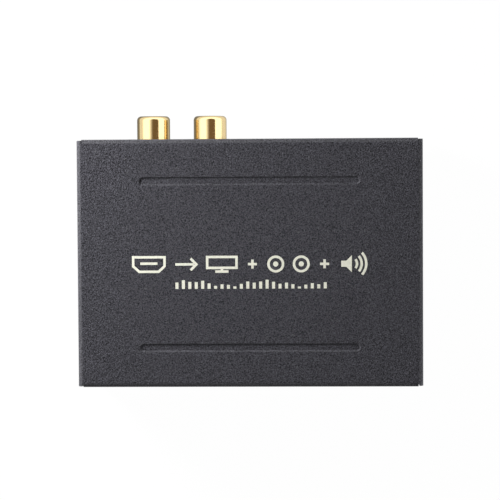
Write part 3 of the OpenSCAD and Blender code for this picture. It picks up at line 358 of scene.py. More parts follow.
@node_group("Turning lines", Pitch=0.1 * MM)
def lathe_group(tree, given):
    """Fine turning lines round an axis along Y."""
    along = split(tree, -700, 0, given["Vector"])["Y"]
    turns = math_node(tree, "DIVIDE", -500, 0, along, given["Pitch"])
    lines = add(tree, "ShaderNodeTexNoise", -300, 0, noise_dimensions="1D")
    return {"Height": feed(tree, lines, W=turns, Scale=1.0, Detail=4.0)["Fac"]}


@node_group("Copper traces", Pitch=0.6 * MM)
def trace_group(tree, given):
    """Copper traces that run along and across a board in plan: 1 over copper."""
    place = scaled(tree, -700, 0, given["Vector"], given["Pitch"])
    cells = add(
        tree, "ShaderNodeTexVoronoi", -480, 200, distance="CHEBYCHEV", voronoi_dimensions="2D"
    )
    colour_of_cell = feed(tree, cells, Vector=place, Scale=0.16)["Color"]
    pick = fill(tree, add(tree, "ShaderNodeSeparateColor", -300, 300), colour_of_cell)
    parts = split(tree, -480, -100, place)
    lines = []
    for axis, y in (("X", 0), ("Y", -160)):
        saw = math_node(tree, "FRACT", -300, y, parts[axis])
        lines.append(math_node(tree, "LESS_THAN", -120, y, saw, 0.42))
    turned = math_node(tree, "GREATER_THAN", -120, 300, pick[0], 0.5)
    chosen = mix(tree, 60, 100, turned, *lines, kind="FLOAT")
    some = math_node(tree, "GREATER_THAN", 60, 300, pick[1], 0.45)
    return {"Mask": math_node(tree, "MULTIPLY", 260, 100, chosen, some)}


def clean_tree(owner):
    """The node tree of a material or world, emptied."""
    owner.use_nodes = True
    owner.node_tree.nodes.clear()
    return owner.node_tree


def blank_material(name):
    """A material with a Principled surface; gives (material, tree, surface, object position)."""
    material = bpy.data.materials.new(name)
    tree = clean_tree(material)
    surface = add(tree, "ShaderNodeBsdfPrincipled", 600, 0)
    feed(tree, add(tree, "ShaderNodeOutputMaterial", 900, 0), Surface=surface.outputs[0])
    spot = add(tree, "ShaderNodeTexCoord", -900, 0).outputs["Object"]
    return material, tree, surface, spot


def rgba(values, share=1.0):
    """A colour socket's four numbers."""
    return tuple(v * share for v in values) + (1.0,)


def shades(tree, x, mask, base, dark, light):
    """The base colour times dark where the mask is 0 and times light where it is 1."""
    return mix(tree, x, 300, mask, rgba(base, dark), rgba(base, light))


def uneven(tree, surface, tone, low, high):
    """Roughness that follows a tone, from low to high."""
    feed(tree, surface, Roughness=ramp(tree, 200, 0, tone, 0, 1, low, high, False))


def bump(tree, surface, height, distance, strength):
    """Feeds a height to the surface's normal."""
    node = add(tree, "ShaderNodeBump", 300, -350)
    feed(tree, node, Strength=strength, Distance=distance, Height=height)
    feed(tree, surface, Normal=node.outputs[0])


def textured_coat(name, coat, fleck, worn_and_lit_edge, grain, depth, roughness):
    """Sandy powder coat, paler on the edges, partly as wear and partly as a painted highlight, and
    paler on the folds as a painted highlight of the bends.
    """
    material, tree, surface, spot = blank_material(name)
    sand = use(tree, sand_group(), -500, 100, Vector=spot, Size=grain)
    edge = use(tree, edge_wear_and_highlight_group(), -500, -200, Vector=spot, Width=0.35 * MM, Patch=1.5 * MM)
    drift = use(tree, drift_group(), -500, -450, Vector=spot, Size=14 * MM)
    tone = shades(tree, -200, sand["Tone"], coat, 0.08, 1.92)
    tone = mix(tree, 0, 300, sand["Flecks"], tone, rgba(fleck))
    # Painted highlight: the folds, and partly the edges, are paled where the bends would catch the
    # light
    wear_and_highlight = math_node(
        tree, "MAXIMUM", 0, 0,
        math_node(tree, "MULTIPLY", -200, 0, edge["Mask"], 0.55),
        math_node(tree, "MULTIPLY", -200, -100, edge["Fold"], 0.22),
    )
    base = mix(tree, 200, 300, wear_and_highlight, tone, rgba(worn_and_lit_edge))
    feed(tree, surface, Base_Color=base, Specular_IOR_Level=0.09)
    uneven(tree, surface, drift["Tone"], roughness - 0.05, roughness + 0.07)
    bump(tree, surface, sand["Height"], depth, 0.9)
    return material


def moulded(name, base, roughness, grain=0.25 * MM, depth=0.006 * MM, shine=0.5, gloss=0.0):
    """Moulded plastic, resin or rubber: fine spark texture, a slow drift of tone, edges paled
    partly as rubbed wear and partly as a painted highlight.
    """
    material, tree, surface, spot = blank_material(name)
    sand = use(tree, sand_group(), -500, 100, Vector=spot, Size=grain)
    drift = use(tree, drift_group(), -500, -450, Vector=spot, Size=4 * MM)["Tone"]
    edge = use(tree, edge_wear_and_highlight_group(), -500, -200, Vector=spot, Width=0.12 * MM, Patch=0.8 * MM)
    # Painted highlight, partly rubbed wear: the edges are paled towards this colour
    pale = [min(1.0, v * 1.5 + 0.02) for v in base]
    wear_and_highlight = math_node(tree, "MULTIPLY", 0, 0, edge["Mask"], 0.5)
    rubbed_and_lit = mix(tree, 200, 300, wear_and_highlight, shades(tree, -200, drift, base, 0.85, 1.15), rgba(pale))
    feed(tree, surface, Base_Color=rubbed_and_lit, Specular_IOR_Level=shine, Coat_Weight=gloss)
    uneven(tree, surface, drift, roughness - 0.06, roughness + 0.06)
    bump(tree, surface, sand["Height"], depth, 0.6)
    return material


def plated(name, base, roughness, turned=None, size=0.2 * MM, depth=0.0012 * MM):
    """Plated metal with a slight drift of tone, finely uneven or with turning lines."""
    material, tree, surface, spot = blank_material(name)
    drift = use(tree, drift_group(), -500, 100, Vector=spot, Size=1.6 * MM)["Tone"]
    fine = use(tree, drift_group(), -500, -100, Vector=spot, Size=size)["Tone"]
    feed(tree, surface, Base_Color=shades(tree, -100, drift, base, 0.93, 1.04), Metallic=1.0)
    uneven(tree, surface, fine, max(0.03, roughness - 0.05), roughness + 0.06)
    height = fine
    if turned:
        height = use(tree, lathe_group(), -500, -350, Vector=spot, Pitch=turned)["Height"]
    bump(tree, surface, height, depth, 0.5)
    return material


def printed_ink(name, ink, grain, depth):
    """Matt ink that follows the grain of the coat under it."""
    material, tree, surface, spot = blank_material(name)
    sand = use(tree, sand_group(), -500, 100, Vector=spot, Size=grain)
    feed(tree, surface, Base_Color=shades(tree, -100, sand["Tone"], ink, 0.86, 1.08))
    uneven(tree, surface, sand["Tone"], 0.5, 0.65)
    bump(tree, surface, sand["Height"], depth, 0.5)
    return material


def solder_mask(name, mask, trace, width):
    """Green mask over a glass laminate, lighter and slightly raised over copper."""
    material, tree, surface, spot = blank_material(name)
    copper = use(tree, trace_group(), -500, 200, Vector=spot, Pitch=2.2 * width)["Mask"]
    drift = use(tree, drift_group(), -500, -200, Vector=spot, Size=6 * MM)["Tone"]
    over = shades(tree, -100, drift, trace, 0.9, 1.1)
    feed(tree, surface, Base_Color=mix(tree, 100, 300, copper, rgba(mask), over))
    uneven(tree, surface, drift, 0.28, 0.42)
    bump(tree, surface, copper, 0.03 * MM, 0.5)
    return material


def clear_lens(name, base):
    """Tinted, slightly milky resin."""
    material, tree, surface, spot = blank_material(name)
    drift = use(tree, drift_group(), -500, 100, Vector=spot, Size=0.6 * MM)["Tone"]
    feed(tree, surface, Base_Color=shades(tree, -100, drift, base, 0.85, 1.15), IOR=1.5,
         Transmission_Weight=0.35, Subsurface_Weight=0.2, Subsurface_Scale=0.5 * MM)
    uneven(tree, surface, drift, 0.1, 0.2)
    return material


def dress(material, *names):
    """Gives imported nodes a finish."""
    for name in names:
        node = NODES[name]
        node.data.materials.clear()
        node.data.materials.append(material)


# ---------------------------------------------------------------------------
# Mesh making


def mesh_of(name, verts, faces):
    """A new mesh from lists."""
    mesh = bpy.data.meshes.new(name)
    mesh.from_pydata([tuple(v) for v in verts], [], faces)
    return mesh


def face_outward(mesh):
    """Turns a mesh's faces outward."""
    work = bmesh.new()
    work.from_mesh(mesh)
    bmesh.ops.recalc_face_normals(work, faces=work.faces)
    work.to_mesh(mesh)
    work.free()


def put(name, data):
    """A new object in the scene."""
    thing = bpy.data.objects.new(name, data)
    bpy.context.scene.collection.objects.link(thing)
    return thing


def new_piece(name, verts, faces, material, slot, body="case", smooth=0.6, stands_for=()):
    """A mesh piece that rides on a body; faces that meet under the angle `smooth` shade as one."""
    mesh = mesh_of(name, verts, faces)
    mesh.validate()
    face_outward(mesh)
    if smooth:
        mesh.shade_smooth()
        mesh.set_sharp_from_angle(angle=smooth)
    mesh.materials.append(material)
    piece = put(name, mesh)
    if body:
        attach(piece, body)
    if stands_for:
        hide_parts(*stands_for)
    return piece


def offset_line(points, half, closed):
    """The two sides of a flat line of width 2 * half, mitred at its corners."""
    left, right = [], []
    count = len(points)
    for i, point in enumerate(points):
        before = points[i - 1] if i or closed else None
        after = points[(i + 1) % count] if i + 1 < count or closed else None
        a = (point - before).normalized() if before is not None else None
        b = (after - point).normalized() if after is not None else None
        a, b = a or b, b or a
        mean = (a + b).normalized()
        side = Vector((-mean.y, mean.x)) * half / max(0.4, mean.dot(a))
        left.append(point + side)
        right.append(point - side)
    return left, right


class Drawing:
    """Flat strokes and filled shapes that become one thin printed mesh."""

    def __init__(self, low, high, half):
        self.low, self.high, self.half = low, high, half
        self.verts, self.faces = [], []

    def prism(self, ring):
        """A convex flat shape as a thin slab."""
        start, count = len(self.verts), len(ring)
        for z in (self.low, self.high):
            self.verts += [Vector((p.x, p.y, z)) for p in ring]
        self.faces.append(tuple(range(start + count, start + 2 * count)))
        self.faces.append(tuple(range(start + count - 1, start - 1, -1)))
        for i in range(count):
            j = (i + 1) % count
            self.faces.append((start + i, start + j, start + count + j, start + count + i))

    def line(self, points, closed=False):
        """A stroke along points, as one slab."""
        points = [Vector(p) for p in points]
        left, right = offset_line(points, self.half, closed)
        start, count = len(self.verts), len(points)
        for z in (self.low, self.high):
            self.verts += [Vector((p.x, p.y, z)) for p in left]
            self.verts += [Vector((p.x, p.y, z)) for p in right]
        top = start + 2 * count
        for i in range(count if closed else count - 1):
            j = (i + 1) % count
            a, b = start + i, start + j
            self.faces += [
                (top + i, top + j, top + count + j, top + count + i),
                (a, a + count, b + count, b),
                (a, b, top + j, top + i),
                (a + count, top + count + i, top + count + j, b + count),
            ]
        if not closed:
            last = count - 1
            self.faces.append((start, top, top + count, start + count))
            self.faces.append(
                (start + last, start + count + last, top + count + last, top + last)
            )

    def arc(self, centre, radius, from_angle=0.0, to_angle=360.0, steps=28):
        """A stroke along an arc, in degrees."""
        whole = to_angle - from_angle >= 360
        count = steps if whole else steps + 1
        points = []
        for i in range(count):
            angle = math.radians(from_angle + (to_angle - from_angle) * i / steps)
            points.append(Vector(centre) + radius * Vector((math.cos(angle), math.sin(angle))))
        self.line(points, whole)

    def dot(self, centre, radius, steps=20):
        """A filled disc."""
        self.prism([
            Vector(centre) + radius * Vector((math.cos(2 * math.pi * i / steps),
                                              math.sin(2 * math.pi * i / steps)))
            for i in range(steps)
        ])

    def rectangle(self, x0, y0, x1, y1):
        """A filled rectangle."""
        self.prism([Vector(p) for p in ((x0, y0), (x1, y0), (x1, y1), (x0, y1))])


def pictogram_row(drawing, middle, width, unit, stroke):
    """Video socket, arrow, screen, plus, two jacks, plus and speaker, each at most unit high."""
    h = unit / 2 - stroke / 2
    x = middle.x - width / 2
    y = middle.y

    def socket(cx):
        w = 0.92 * unit
        drawing.line([(cx - w, y + h), (cx + w, y + h), (cx + w, y - 0.25 * h),
                      (cx + 0.62 * w, y - h), (cx - 0.62 * w, y - h), (cx - w, y - 0.25 * h)], True)
        drawing.line([(cx - 0.55 * w, y + 0.12 * h), (cx + 0.55 * w, y + 0.12 * h)])

    def arrow(cx):
        w = 0.62 * unit
        drawing.line([(cx - w, y), (cx + w - stroke, y)])
        barb = cx + w - 0.8 * h
        drawing.line([(barb, y + 0.8 * h), (cx + w, y), (barb, y - 0.8 * h)])

    def screen(cx):
        w = 0.86 * unit
        drawing.line([(cx - w, y + h), (cx + w, y + h), (cx + w, y - 0.5 * h),
                      (cx - w, y - 0.5 * h)], True)
        drawing.line([(cx - 0.45 * w, y - h), (cx + 0.45 * w, y - h)])
        drawing.line([(cx, y - 0.5 * h - stroke / 2), (cx, y - h + stroke / 2)])

    def plus(cx):
        drawing.line([(cx - 0.62 * h, y), (cx - stroke / 2, y)])
        drawing.line([(cx + stroke / 2, y), (cx + 0.62 * h, y)])
        drawing.line([(cx, y - 0.62 * h), (cx, y + 0.62 * h)])

    def jack(cx):
        drawing.arc((cx, y), h)
        drawing.dot((cx, y), 0.36 * h)

    def speaker(cx):
        left = cx - 0.72 * unit
        drawing.rectangle(left, y - 0.42 * h, left + 0.3 * unit, y + 0.42 * h)
        drawing.prism([Vector(p) for p in (
            (left + 0.3 * unit, y - 0.42 * h), (left + 0.62 * unit, y - h - stroke / 2),
            (left + 0.62 * unit, y + h + stroke / 2), (left + 0.3 * unit, y + 0.42 * h))])
        for i in range(3):
            lean = 38 + 2 * i
            drawing.arc((left + 0.5 * unit, y), (0.42 + 0.27 * i) * unit, -lean, lean, 12)

    shares = ((socket, 0.92), (arrow, 0.62), (screen, 0.86), (plus, 0.3), (jack, 0.43),
              (jack, 0.43), (plus, 0.3), (speaker, 0.76))
    spots = [(kind, half * unit + stroke / 2) for kind, half in shares]
    spare = width - sum(2 * half for _, half in spots)
    gap = spare / (len(spots) - 1)
    for kind, half in spots:
        kind(x + half)
        x += 2 * half + gap


def level_bars(drawing, middle, width, height, count, stroke):
    """Sound level bars, standing on one line; two waves set their heights."""
    pitch = (width - stroke) / (count - 1)
    for i in range(count):
        swell = 0.62 + 0.26 * math.sin(0.55 * i + 0.4) + 0.16 * math.sin(1.9 * i)
        tall = height * min(1.0, max(0.22, swell))
        cx = middle.x - width / 2 + stroke / 2 + i * pitch
        drawing.rectangle(cx - stroke / 2, middle.y - height / 2,
                          cx + stroke / 2, middle.y - height / 2 + tall)


def lathe(profile, steps):
    """Verts and faces of a profile of (radius, height) turned round Z; ends at radius 0 close."""
    verts, faces, rings = [], [], []
    for radius, z in profile:
        if radius < 1e-9:
            rings.append([len(verts)])
            verts.append(Vector((0, 0, z)))
        else:
            rings.append(list(range(len(verts), len(verts) + steps)))
            verts += [Vector((radius * math.cos(2 * math.pi * k / steps),
                              radius * math.sin(2 * math.pi * k / steps), z)) for k in range(steps)]
    for a, b in zip(rings, rings[1:]):
        for k in range(steps):
            n = (k + 1) % steps
            if len(a) == 1 and len(b) > 1:
                faces.append((a[0], b[n], b[k]))
            elif len(b) == 1 and len(a) > 1:
                faces.append((a[k], a[n], b[0]))
            elif len(a) > 1:
                faces.append((a[k], a[n], b[n], b[k]))
    return verts, faces


def screw_mesh(head, radius, tip, pitch, recess):
    """A screw along -Z: head profile from its crown down, a real helical thread, a cross recess."""
    steps, per_turn = 28, 8
    root = radius - 0.6 * pitch
    verts, faces = lathe(head + [(root, head[-1][1])], steps)
    top = head[-1][1]
    rows = int(round((top - tip) / pitch * per_turn))
    ring = len(verts) - steps
    for row in range(1, rows + 1):
        z = top + (tip - top) * row / rows
        fade = min(1.0, (top - z) / pitch, (z - tip) / pitch + 0.05)
        for k in range(steps):
            angle = 2 * math.pi * k / steps
            phase = (z / pitch + k / steps) % 1.0
            r = root + (radius - root) * max(0.0, 1 - abs(2 * phase - 1) * 1.15) * fade
            verts.append(Vector((r * math.cos(angle), r * math.sin(angle), z)))
        now = len(verts) - steps
        for k in range(steps):
            n = (k + 1) % steps
            faces.append((ring + k, ring + n, now + n, now + k))
        ring = now
    verts.append(Vector((0, 0, tip)))
    for k in range(steps):
        faces.append((ring + k, ring + (k + 1) % steps, len(verts) - 1))
    return carved(mesh_of("screw_body", verts, faces), cross_cutter(head[0][1], *recess))


def cross_cutter(top, reach, width, deep):
    """The tapered cross that a driver's tip leaves in a head."""
    verts, faces = [], []
    over = 0.2 * MM
    for turn in (0, 1):
        start = len(verts)
        for z, share in ((top + over, 1.12), (top - deep, 0.45)):
            for sx, sy in ((-1, -1), (1, -1), (1, 1), (-1, 1)):
                p = Vector((sx * reach * share, sy * width / 2 * (0.7 + 0.3 * share), z))
                verts.append(Vector((-p.y, p.x, p.z)) if turn else p)
        b = start
        faces += [(b, b + 1, b + 2, b + 3), (b + 7, b + 6, b + 5, b + 4)]
        faces += [(b + i, b + 4 + i, b + 4 + (i + 1) % 4, b + (i + 1) % 4) for i in range(4)]
    return mesh_of("cross", verts, faces)


def carved(body, cutter):
    """The body's mesh with the cutter taken out of it."""
    objects = []
    for mesh in (body, cutter):
        face_outward(mesh)
        objects.append(put(mesh.name, mesh))
    change = objects[0].modifiers.new("recess", "BOOLEAN")
    change.operation, change.solver, change.object = "DIFFERENCE", "EXACT", objects[1]
    change.use_self = True
    bpy.context.view_layer.update()
    made = bpy.data.meshes.new_from_object(
        objects[0].evaluated_get(bpy.context.evaluated_depsgraph_get())
    )
    for thing in objects:
        bpy.data.objects.remove(thing)
    return made


def copies(mesh, matrices):
    """One mesh with a copy of the given one at each matrix."""
    verts, faces = [], []
    for matrix in matrices:
        start = len(verts)
        verts += [matrix @ v.co for v in mesh.vertices]
        faces += [tuple(start + i for i in face.vertices) for face in mesh.polygons]
    return verts, faces


def tube(path, radius, sides):
    """Verts and faces of a round wire along a path, its ends closed."""
    verts, faces = [], []
    up = Vector((0.31, 0.2, 0.93))  # any direction that no path starts along
    for i, point in enumerate(path):
        along = (path[min(i + 1, len(path) - 1)] - path[max(i - 1, 0)]).normalized()
        side = (up - along * up.dot(along)).normalized()
        up = side
        other = along.cross(side)
        for k in range(sides):
            angle = 2 * math.pi * k / sides
            verts.append(point + radius * (math.cos(angle) * side + math.sin(angle) * other))
    for i in range(len(path) - 1):
        for k in range(sides):
            n = (k + 1) % sides
            a, b = i * sides, (i + 1) * sides
            faces.append((a + k, a + n, b + n, b + k))
    faces.append(tuple(range(sides - 1, -1, -1)))
    faces.append(tuple(range(len(verts) - sides, len(verts))))
    return verts, faces


# ---------------------------------------------------------------------------
# Operators


class SPLITTER_OT_stage(bpy.types.Operator):
    """Camera at the photograph's place, pale floor, soft lamps and a white tent"""

    bl_idname = "splitter.stage"
    bl_label = "Studio"

    def execute(self, context):
        s = context.scene.splitter_stage
        context.scene.view_settings.view_transform = "Standard"
        self.camera(context.scene, s)
        self.floor(s)
        self.tent(context.scene, s)
        self.gap(s)
        self.lamp("key", KEY_PLACE, KEY_SIZE, s.key_power)
        self.lamp("rim", RIM_PLACE, RIM_SIZE, s.rim_power)
        return {"FINISHED"}

    def camera(self, scene, s):
        """A long lens at the camera's place."""
        data = bpy.data.cameras.new("view")
        data.lens, data.sensor_width = s.focal, 36
        data.clip_start, data.clip_end = 0.01, 20
        camera = put("view", data)
        turn = Matrix.Identity(4)
        for axis, degrees in CAMERA_TURNS:
            turn = turn @ Matrix.Rotation(math.radians(degrees), 4, axis)
        camera.matrix_world = Matrix.Translation(CAMERA_PLACE) @ turn
        scene.camera = camera

    def floor(self, s):
        """White to the camera, dim beside the jacks to metal, and clear from below."""
        corners = [(FLOOR_REACH * x, FLOOR_REACH * y, FLOOR_Z)
                   for x, y in ((-1, -1), (1, -1), (1, 1), (-1, 1))]
        mesh = mesh_of("floor", corners, [(0, 1, 2, 3)])
        floor = put("floor", mesh)
        material = bpy.data.materials.new("white_sweep")
        tree = clean_tree(material)
        lit = feed(tree, add(tree, "ShaderNodeBsdfDiffuse", -100, -150), Color=rgba(s.floor))
        rays = add(tree, "ShaderNodeLightPath", -500, 300).outputs
        mirrored = rays["Is Glossy Ray"]
        seen = math_node(tree, "MAXIMUM", -400, 200, mirrored, rays["Is Transmission Ray"])
        seen = math_node(tree, "MAXIMUM", -300, 300, rays["Is Camera Ray"], seen)
        share = math_node(tree, "MULTIPLY", -100, 300, seen, s.floor_glow)
        where = add(tree, "ShaderNodeNewGeometry", -900, -100).outputs
        away = vector_node(tree, "SUBTRACT", -700, -100, where["Position"], SHADE_PLACE)
        away = vector_node(tree, "LENGTH", -500, -100, away)
        near = ramp(tree, -300, -100, away, *SHADE_RADII, s.floor_shade, 1.0)
        bright = mix(tree, -250, 50, mirrored, 1.0, near, "FLOAT")
        glow = feed(tree, add(tree, "ShaderNodeEmission", -100, 0), Strength=bright)
        above = add(tree, "ShaderNodeMixShader", 150, 0)
        fill(tree, above, share, lit[0], glow[0])
        below = add(tree, "ShaderNodeBsdfTransparent", 150, -150)
        both = add(tree, "ShaderNodeMixShader", 350, 0)
        fill(tree, both, where["Backfacing"], above.outputs[0], below.outputs[0])
        feed(tree, add(tree, "ShaderNodeOutputMaterial", 550, 0), Surface=both.outputs[0])
        mesh.materials.append(material)

    def tent(self, scene, s):
        """The world: white to the camera, dim to matt surfaces, brightest overhead to metal."""
        scene.world = bpy.data.worlds.new("tent")
        tree = clean_tree(scene.world)
        spot = add(tree, "ShaderNodeTexCoord", -900, 0).outputs["Generated"]
        parts = split(tree, -700, 0, spot)
        right = math_node(tree, "MAXIMUM", -760, 200, parts["X"], 0.0)
        right = math_node(tree, "MULTIPLY", -620, 200, right, 0.35)
        height = math_node(tree, "ADD", -620, 100, parts["Z"], right)
        overhead = ramp(tree, -500, 100, height, 0.12, 0.42, 1.0, s.tent)
        rays = add(tree, "ShaderNodeLightPath", -300, 400).outputs
        last = s.ambient
        for x, ray, value in ((50, "Is Glossy Ray", overhead), (200, "Is Transmission Ray", 1.0),
                              (350, "Is Camera Ray", 1.0)):
            last = mix(tree, x, 200, rays[ray], last, value, "FLOAT")
        back = add(tree, "ShaderNodeBackground", 500, 0)
        feed(tree, back, Color=(1, 1, 1, 1), Strength=last)
        feed(tree, add(tree, "ShaderNodeOutputWorld", 700, 0), Surface=back.outputs[0])

    def gap(self, s):
        """The dark gap in the tent, round the camera; only metal and gloss show it."""
        mesh = bpy.data.meshes.new("tent_gap")
        work = bmesh.new()
        bmesh.ops.create_circle(work, cap_ends=True, segments=48, radius=s.gap_radius)
        work.to_mesh(mesh)
        work.free()
        gap = put("tent_gap", mesh)
        gap.location = GAP_PLACE
        gap.visible_camera = gap.visible_diffuse = False
        gap.visible_shadow = gap.visible_transmission = False
        material = bpy.data.materials.new("tent_gap")
        tree = clean_tree(material)
        spot = add(tree, "ShaderNodeTexCoord", -800, 0).outputs["Object"]
        across = split(tree, -600, 0, spot)["X"]
        soft = ramp(tree, -400, 0, across, -s.gap_radius, -0.3 * s.gap_radius)
        tone = mix(tree, -200, 0, soft, GAP_EDGE, rgba(s.gap))
        dim = feed(tree, add(tree, "ShaderNodeEmission", 0, 0), Color=tone)
        feed(tree, add(tree, "ShaderNodeOutputMaterial", 200, 0), Surface=dim[0])
        mesh.materials.append(material)

    def lamp(self, name, spot, size, power):
        """A round lamp that faces the cover and that neither camera nor metal shows."""
        data = bpy.data.lights.new(name, "AREA")
        data.shape, data.size, data.energy = "DISK", size, power
        lamp = put(name, data)
        lamp.location = spot
        lamp.rotation_mode = "QUATERNION"
        aim = Vector((0, CASE_Y, COVER_HIGH.z)) - Vector(spot)
        lamp.rotation_quaternion = aim.to_track_quat("-Z", "Y")
        lamp.visible_camera = lamp.visible_glossy = False


class SPLITTER_OT_coat(bpy.types.Operator):
    """Textured powder coat on the folded cover and tray"""

    bl_idname = "splitter.coat"
    bl_label = "Powder coat"

    def execute(self, context):
        s = context.scene.splitter_coat
        coat = textured_coat(
            "textured_coat", s.coat, s.fleck, s.worn_and_lit_edge, s.grain, s.depth, s.roughness
        )
        dress(coat, "top_cover", "base_tray")
        return {"FINISHED"}


class SPLITTER_OT_print(bpy.types.Operator):
    """Plain pictograms and level bars printed on the cover"""

    bl_idname = "splitter.print"
    bl_label = "Cover print"

    def execute(self, context):
        s = context.scene.splitter_print
        coat = context.scene.splitter_coat
        ink = printed_ink("pale_ink", s.ink, coat.grain, coat.depth)
        drawing = Drawing(COVER_HIGH.z - INK_SINK, COVER_HIGH.z + INK_RISE, s.stroke / 2)
        pictogram_row(drawing, ROW_MIDDLE, s.width, s.height, s.stroke)
        level_bars(drawing, BARS_MIDDLE, BARS_WIDTH, BARS_HEIGHT, s.bars, BAR_WIDTH)
        new_piece("cover_print", drawing.verts, drawing.faces, ink, "textured_coat", smooth=None)
        return {"FINISHED"}


class SPLITTER_OT_screws(bpy.types.Operator):
    """Threaded screws of the cover and the board, and the board's standoffs"""

    bl_idname = "splitter.screws"
    bl_label = "Screws"

    def execute(self, context):
        s = context.scene.splitter_metal
        black = plated("black_screw", SCREW_BLACK, 0.35, size=0.1 * MM)
        plate = plated("plated_screw", s.plate, s.plate_roughness, size=0.15 * MM)
        low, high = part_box("cover_screws")
        mesh = self.screw(COVER_HEAD, -COVER_SCREW_LENGTH, s.thread_pitch, 0.75 * MM)
        inset, z = 2.5 * MM, (low.z + high.z) / 2
        spots = []
        for side, x in ((1, high.x), (-1, low.x)):
            for i, y in enumerate((low.y + inset, high.y - inset)):
                spin = Matrix.Rotation(0.35 + 0.9 * i + 0.5 * side, 4, "Z")
                turn = Matrix.Rotation(side * math.pi / 2, 4, "Y")
                spots.append(Matrix.Translation((x, y, z)) @ turn @ spin)
        new_piece("threaded_cover_screws", *copies(mesh, spots), black, "black_screw",
                  smooth=0.5, stands_for=("cover_screws",))
        low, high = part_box("board_screws")
        mesh = self.screw(BOARD_HEAD, -(high.z - low.z), s.thread_pitch, 1.1 * MM)
        inset = 2.75 * MM
        spots = [Matrix.Translation((x, y, high.z)) @ Matrix.Rotation(0.4 + x * 40 + y * 25, 4, "Z")
                 for x in (low.x + inset, high.x - inset)
                 for y in (low.y + inset, high.y - inset)]
        new_piece("threaded_board_screws", *copies(mesh, spots), plate, "plated_steel",
                  smooth=0.5, stands_for=("board_screws",))
        dress(plate, "board_standoffs")
        return {"FINISHED"}

    def screw(self, head, tip, pitch, deep):
        """A screw's mesh from its head's profile, its tip's height and its recess's depth."""
        profile = [(radius * MM, z * MM) for radius, z in head]
        return screw_mesh(profile, SCREW_RADIUS, tip, pitch, (RECESS_REACH, RECESS_WIDTH, deep))


class SPLITTER_OT_jacks(bpy.types.Operator):
    """Gold phono barrels, their insulators, centre contacts and housing"""

    bl_idname = "splitter.jacks"
    bl_label = "Phono jacks"

    def execute(self, context):
        metal, plastic = context.scene.splitter_metal, context.scene.splitter_plastic
        gold = plated(
            "gold_plate", metal.gold, metal.gold_roughness, turned=0.09 * MM, depth=0.0016 * MM
        )
        dress(gold, "phono_barrel_left", "phono_barrel_right", "phono_centre_contacts")
        dress(moulded("red_plastic", plastic.red, 0.25, gloss=0.3), "phono_insulator_left")
        dress(moulded("white_plastic", plastic.white, 0.25, gloss=0.3), "phono_insulator_right")
        dress(moulded("jack_black", plastic.black, 0.42), "phono_housing")
        return {"FINISHED"}


class SPLITTER_OT_optical(bpy.types.Operator):
    """Optical socket: housing, shutter, pin, wound spring and light source"""

    bl_idname = "splitter.optical"
    bl_label = "Optical output"

    def execute(self, context):
        metal, plastic = context.scene.splitter_metal, context.scene.splitter_plastic
        black = moulded("optical_black", plastic.black, 0.38)
        dress(black, "optical_housing")
        dress(moulded("shutter_black", plastic.black, 0.3), "optical_shutter")
        steel = plated("spring_steel", metal.plate, 0.22)
        dress(steel, "shutter_pin")
        dress(clear_lens("emitter_resin", EMITTER_RED), "optical_emitter")
        dress(plated("tinned_leads", metal.tin, 0.35), "optical_leads")
        low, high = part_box("shutter_spring")
        wire, radius, turns, per_turn = 0.12 * MM, 0.67 * MM, 4, 22
        half = (high.x - low.x) / 2 - wire
        middle = Vector(((low.x + high.x) / 2, HINGE.y, HINGE.z))
        back = -0.57 * MM - radius / 4
        path = [middle + Vector((-half, back, z)) for z in (-2.7 * MM, -1.6 * MM, -radius)]
        steps = per_turn * turns
        for k in range(steps + 1):
            angle = 2 * math.pi * turns * k / steps
            path.append(middle + Vector((half * (2 * k / steps - 1),
                                         -radius * math.cos(angle), radius * math.sin(angle))))
        for reach, z in ((1.2 * MM, 0.25 * MM), (2.2 * MM, 0.38 * MM)):
            path.append(middle + Vector((half, -radius - reach, z)))
        verts, faces = tube(path, wire, 10)
        spring = new_piece("wound_spring", verts, faces, steel, "plated_steel", body=None,
                           smooth=1.0, stands_for=("shutter_spring",))
        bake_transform(spring)
        return {"FINISHED"}


class SPLITTER_OT_video(bpy.types.Operator):
    """Video sockets: plated shells, tongues and their nineteen contacts"""

    bl_idname = "splitter.video"
    bl_label = "Video sockets"

    def execute(self, context):
        metal, plastic = context.scene.splitter_metal, context.scene.splitter_plastic
        shell = plated("shell_plate", metal.plate, metal.plate_roughness, size=0.12 * MM)
        dress(shell, "video_out_shell", "video_in_shell")
        dress(moulded("tongue_black", plastic.black, 0.45), "video_out_tongue", "video_in_tongue")
        dress(plated("contact_gold", metal.gold, 0.22), "video_out_contacts", "video_in_contacts")
        return {"FINISHED"}


class SPLITTER_OT_front(bpy.types.Operator):
    """Power jack, status lamp and slide switch"""

    bl_idname = "splitter.front"
    bl_label = "Front row"

    def execute(self, context):
        metal, plastic = context.scene.splitter_metal, context.scene.splitter_plastic
        black = moulded("power_black", plastic.black, 0.4)
        dress(black, "power_jack_housing", "lamp_holder", "switch_base")
        knob = moulded("knob_black", plastic.black, 0.5, grain=0.18 * MM, depth=0.01 * MM)
        dress(knob, "switch_knob")
        plate = plated("jack_plate", metal.plate, metal.plate_roughness)
        dress(plate, "power_jack_pin", "power_jack_spring", "switch_frame")
        dress(plated("tinned_metal", metal.tin, 0.36), "lamp_leads", "switch_terminals")
        dress(plated("wiper_gold", metal.gold, 0.25), "switch_wiper")
        dress(clear_lens("lamp_lens", plastic.lens), "status_lamp")
        return {"FINISHED"}


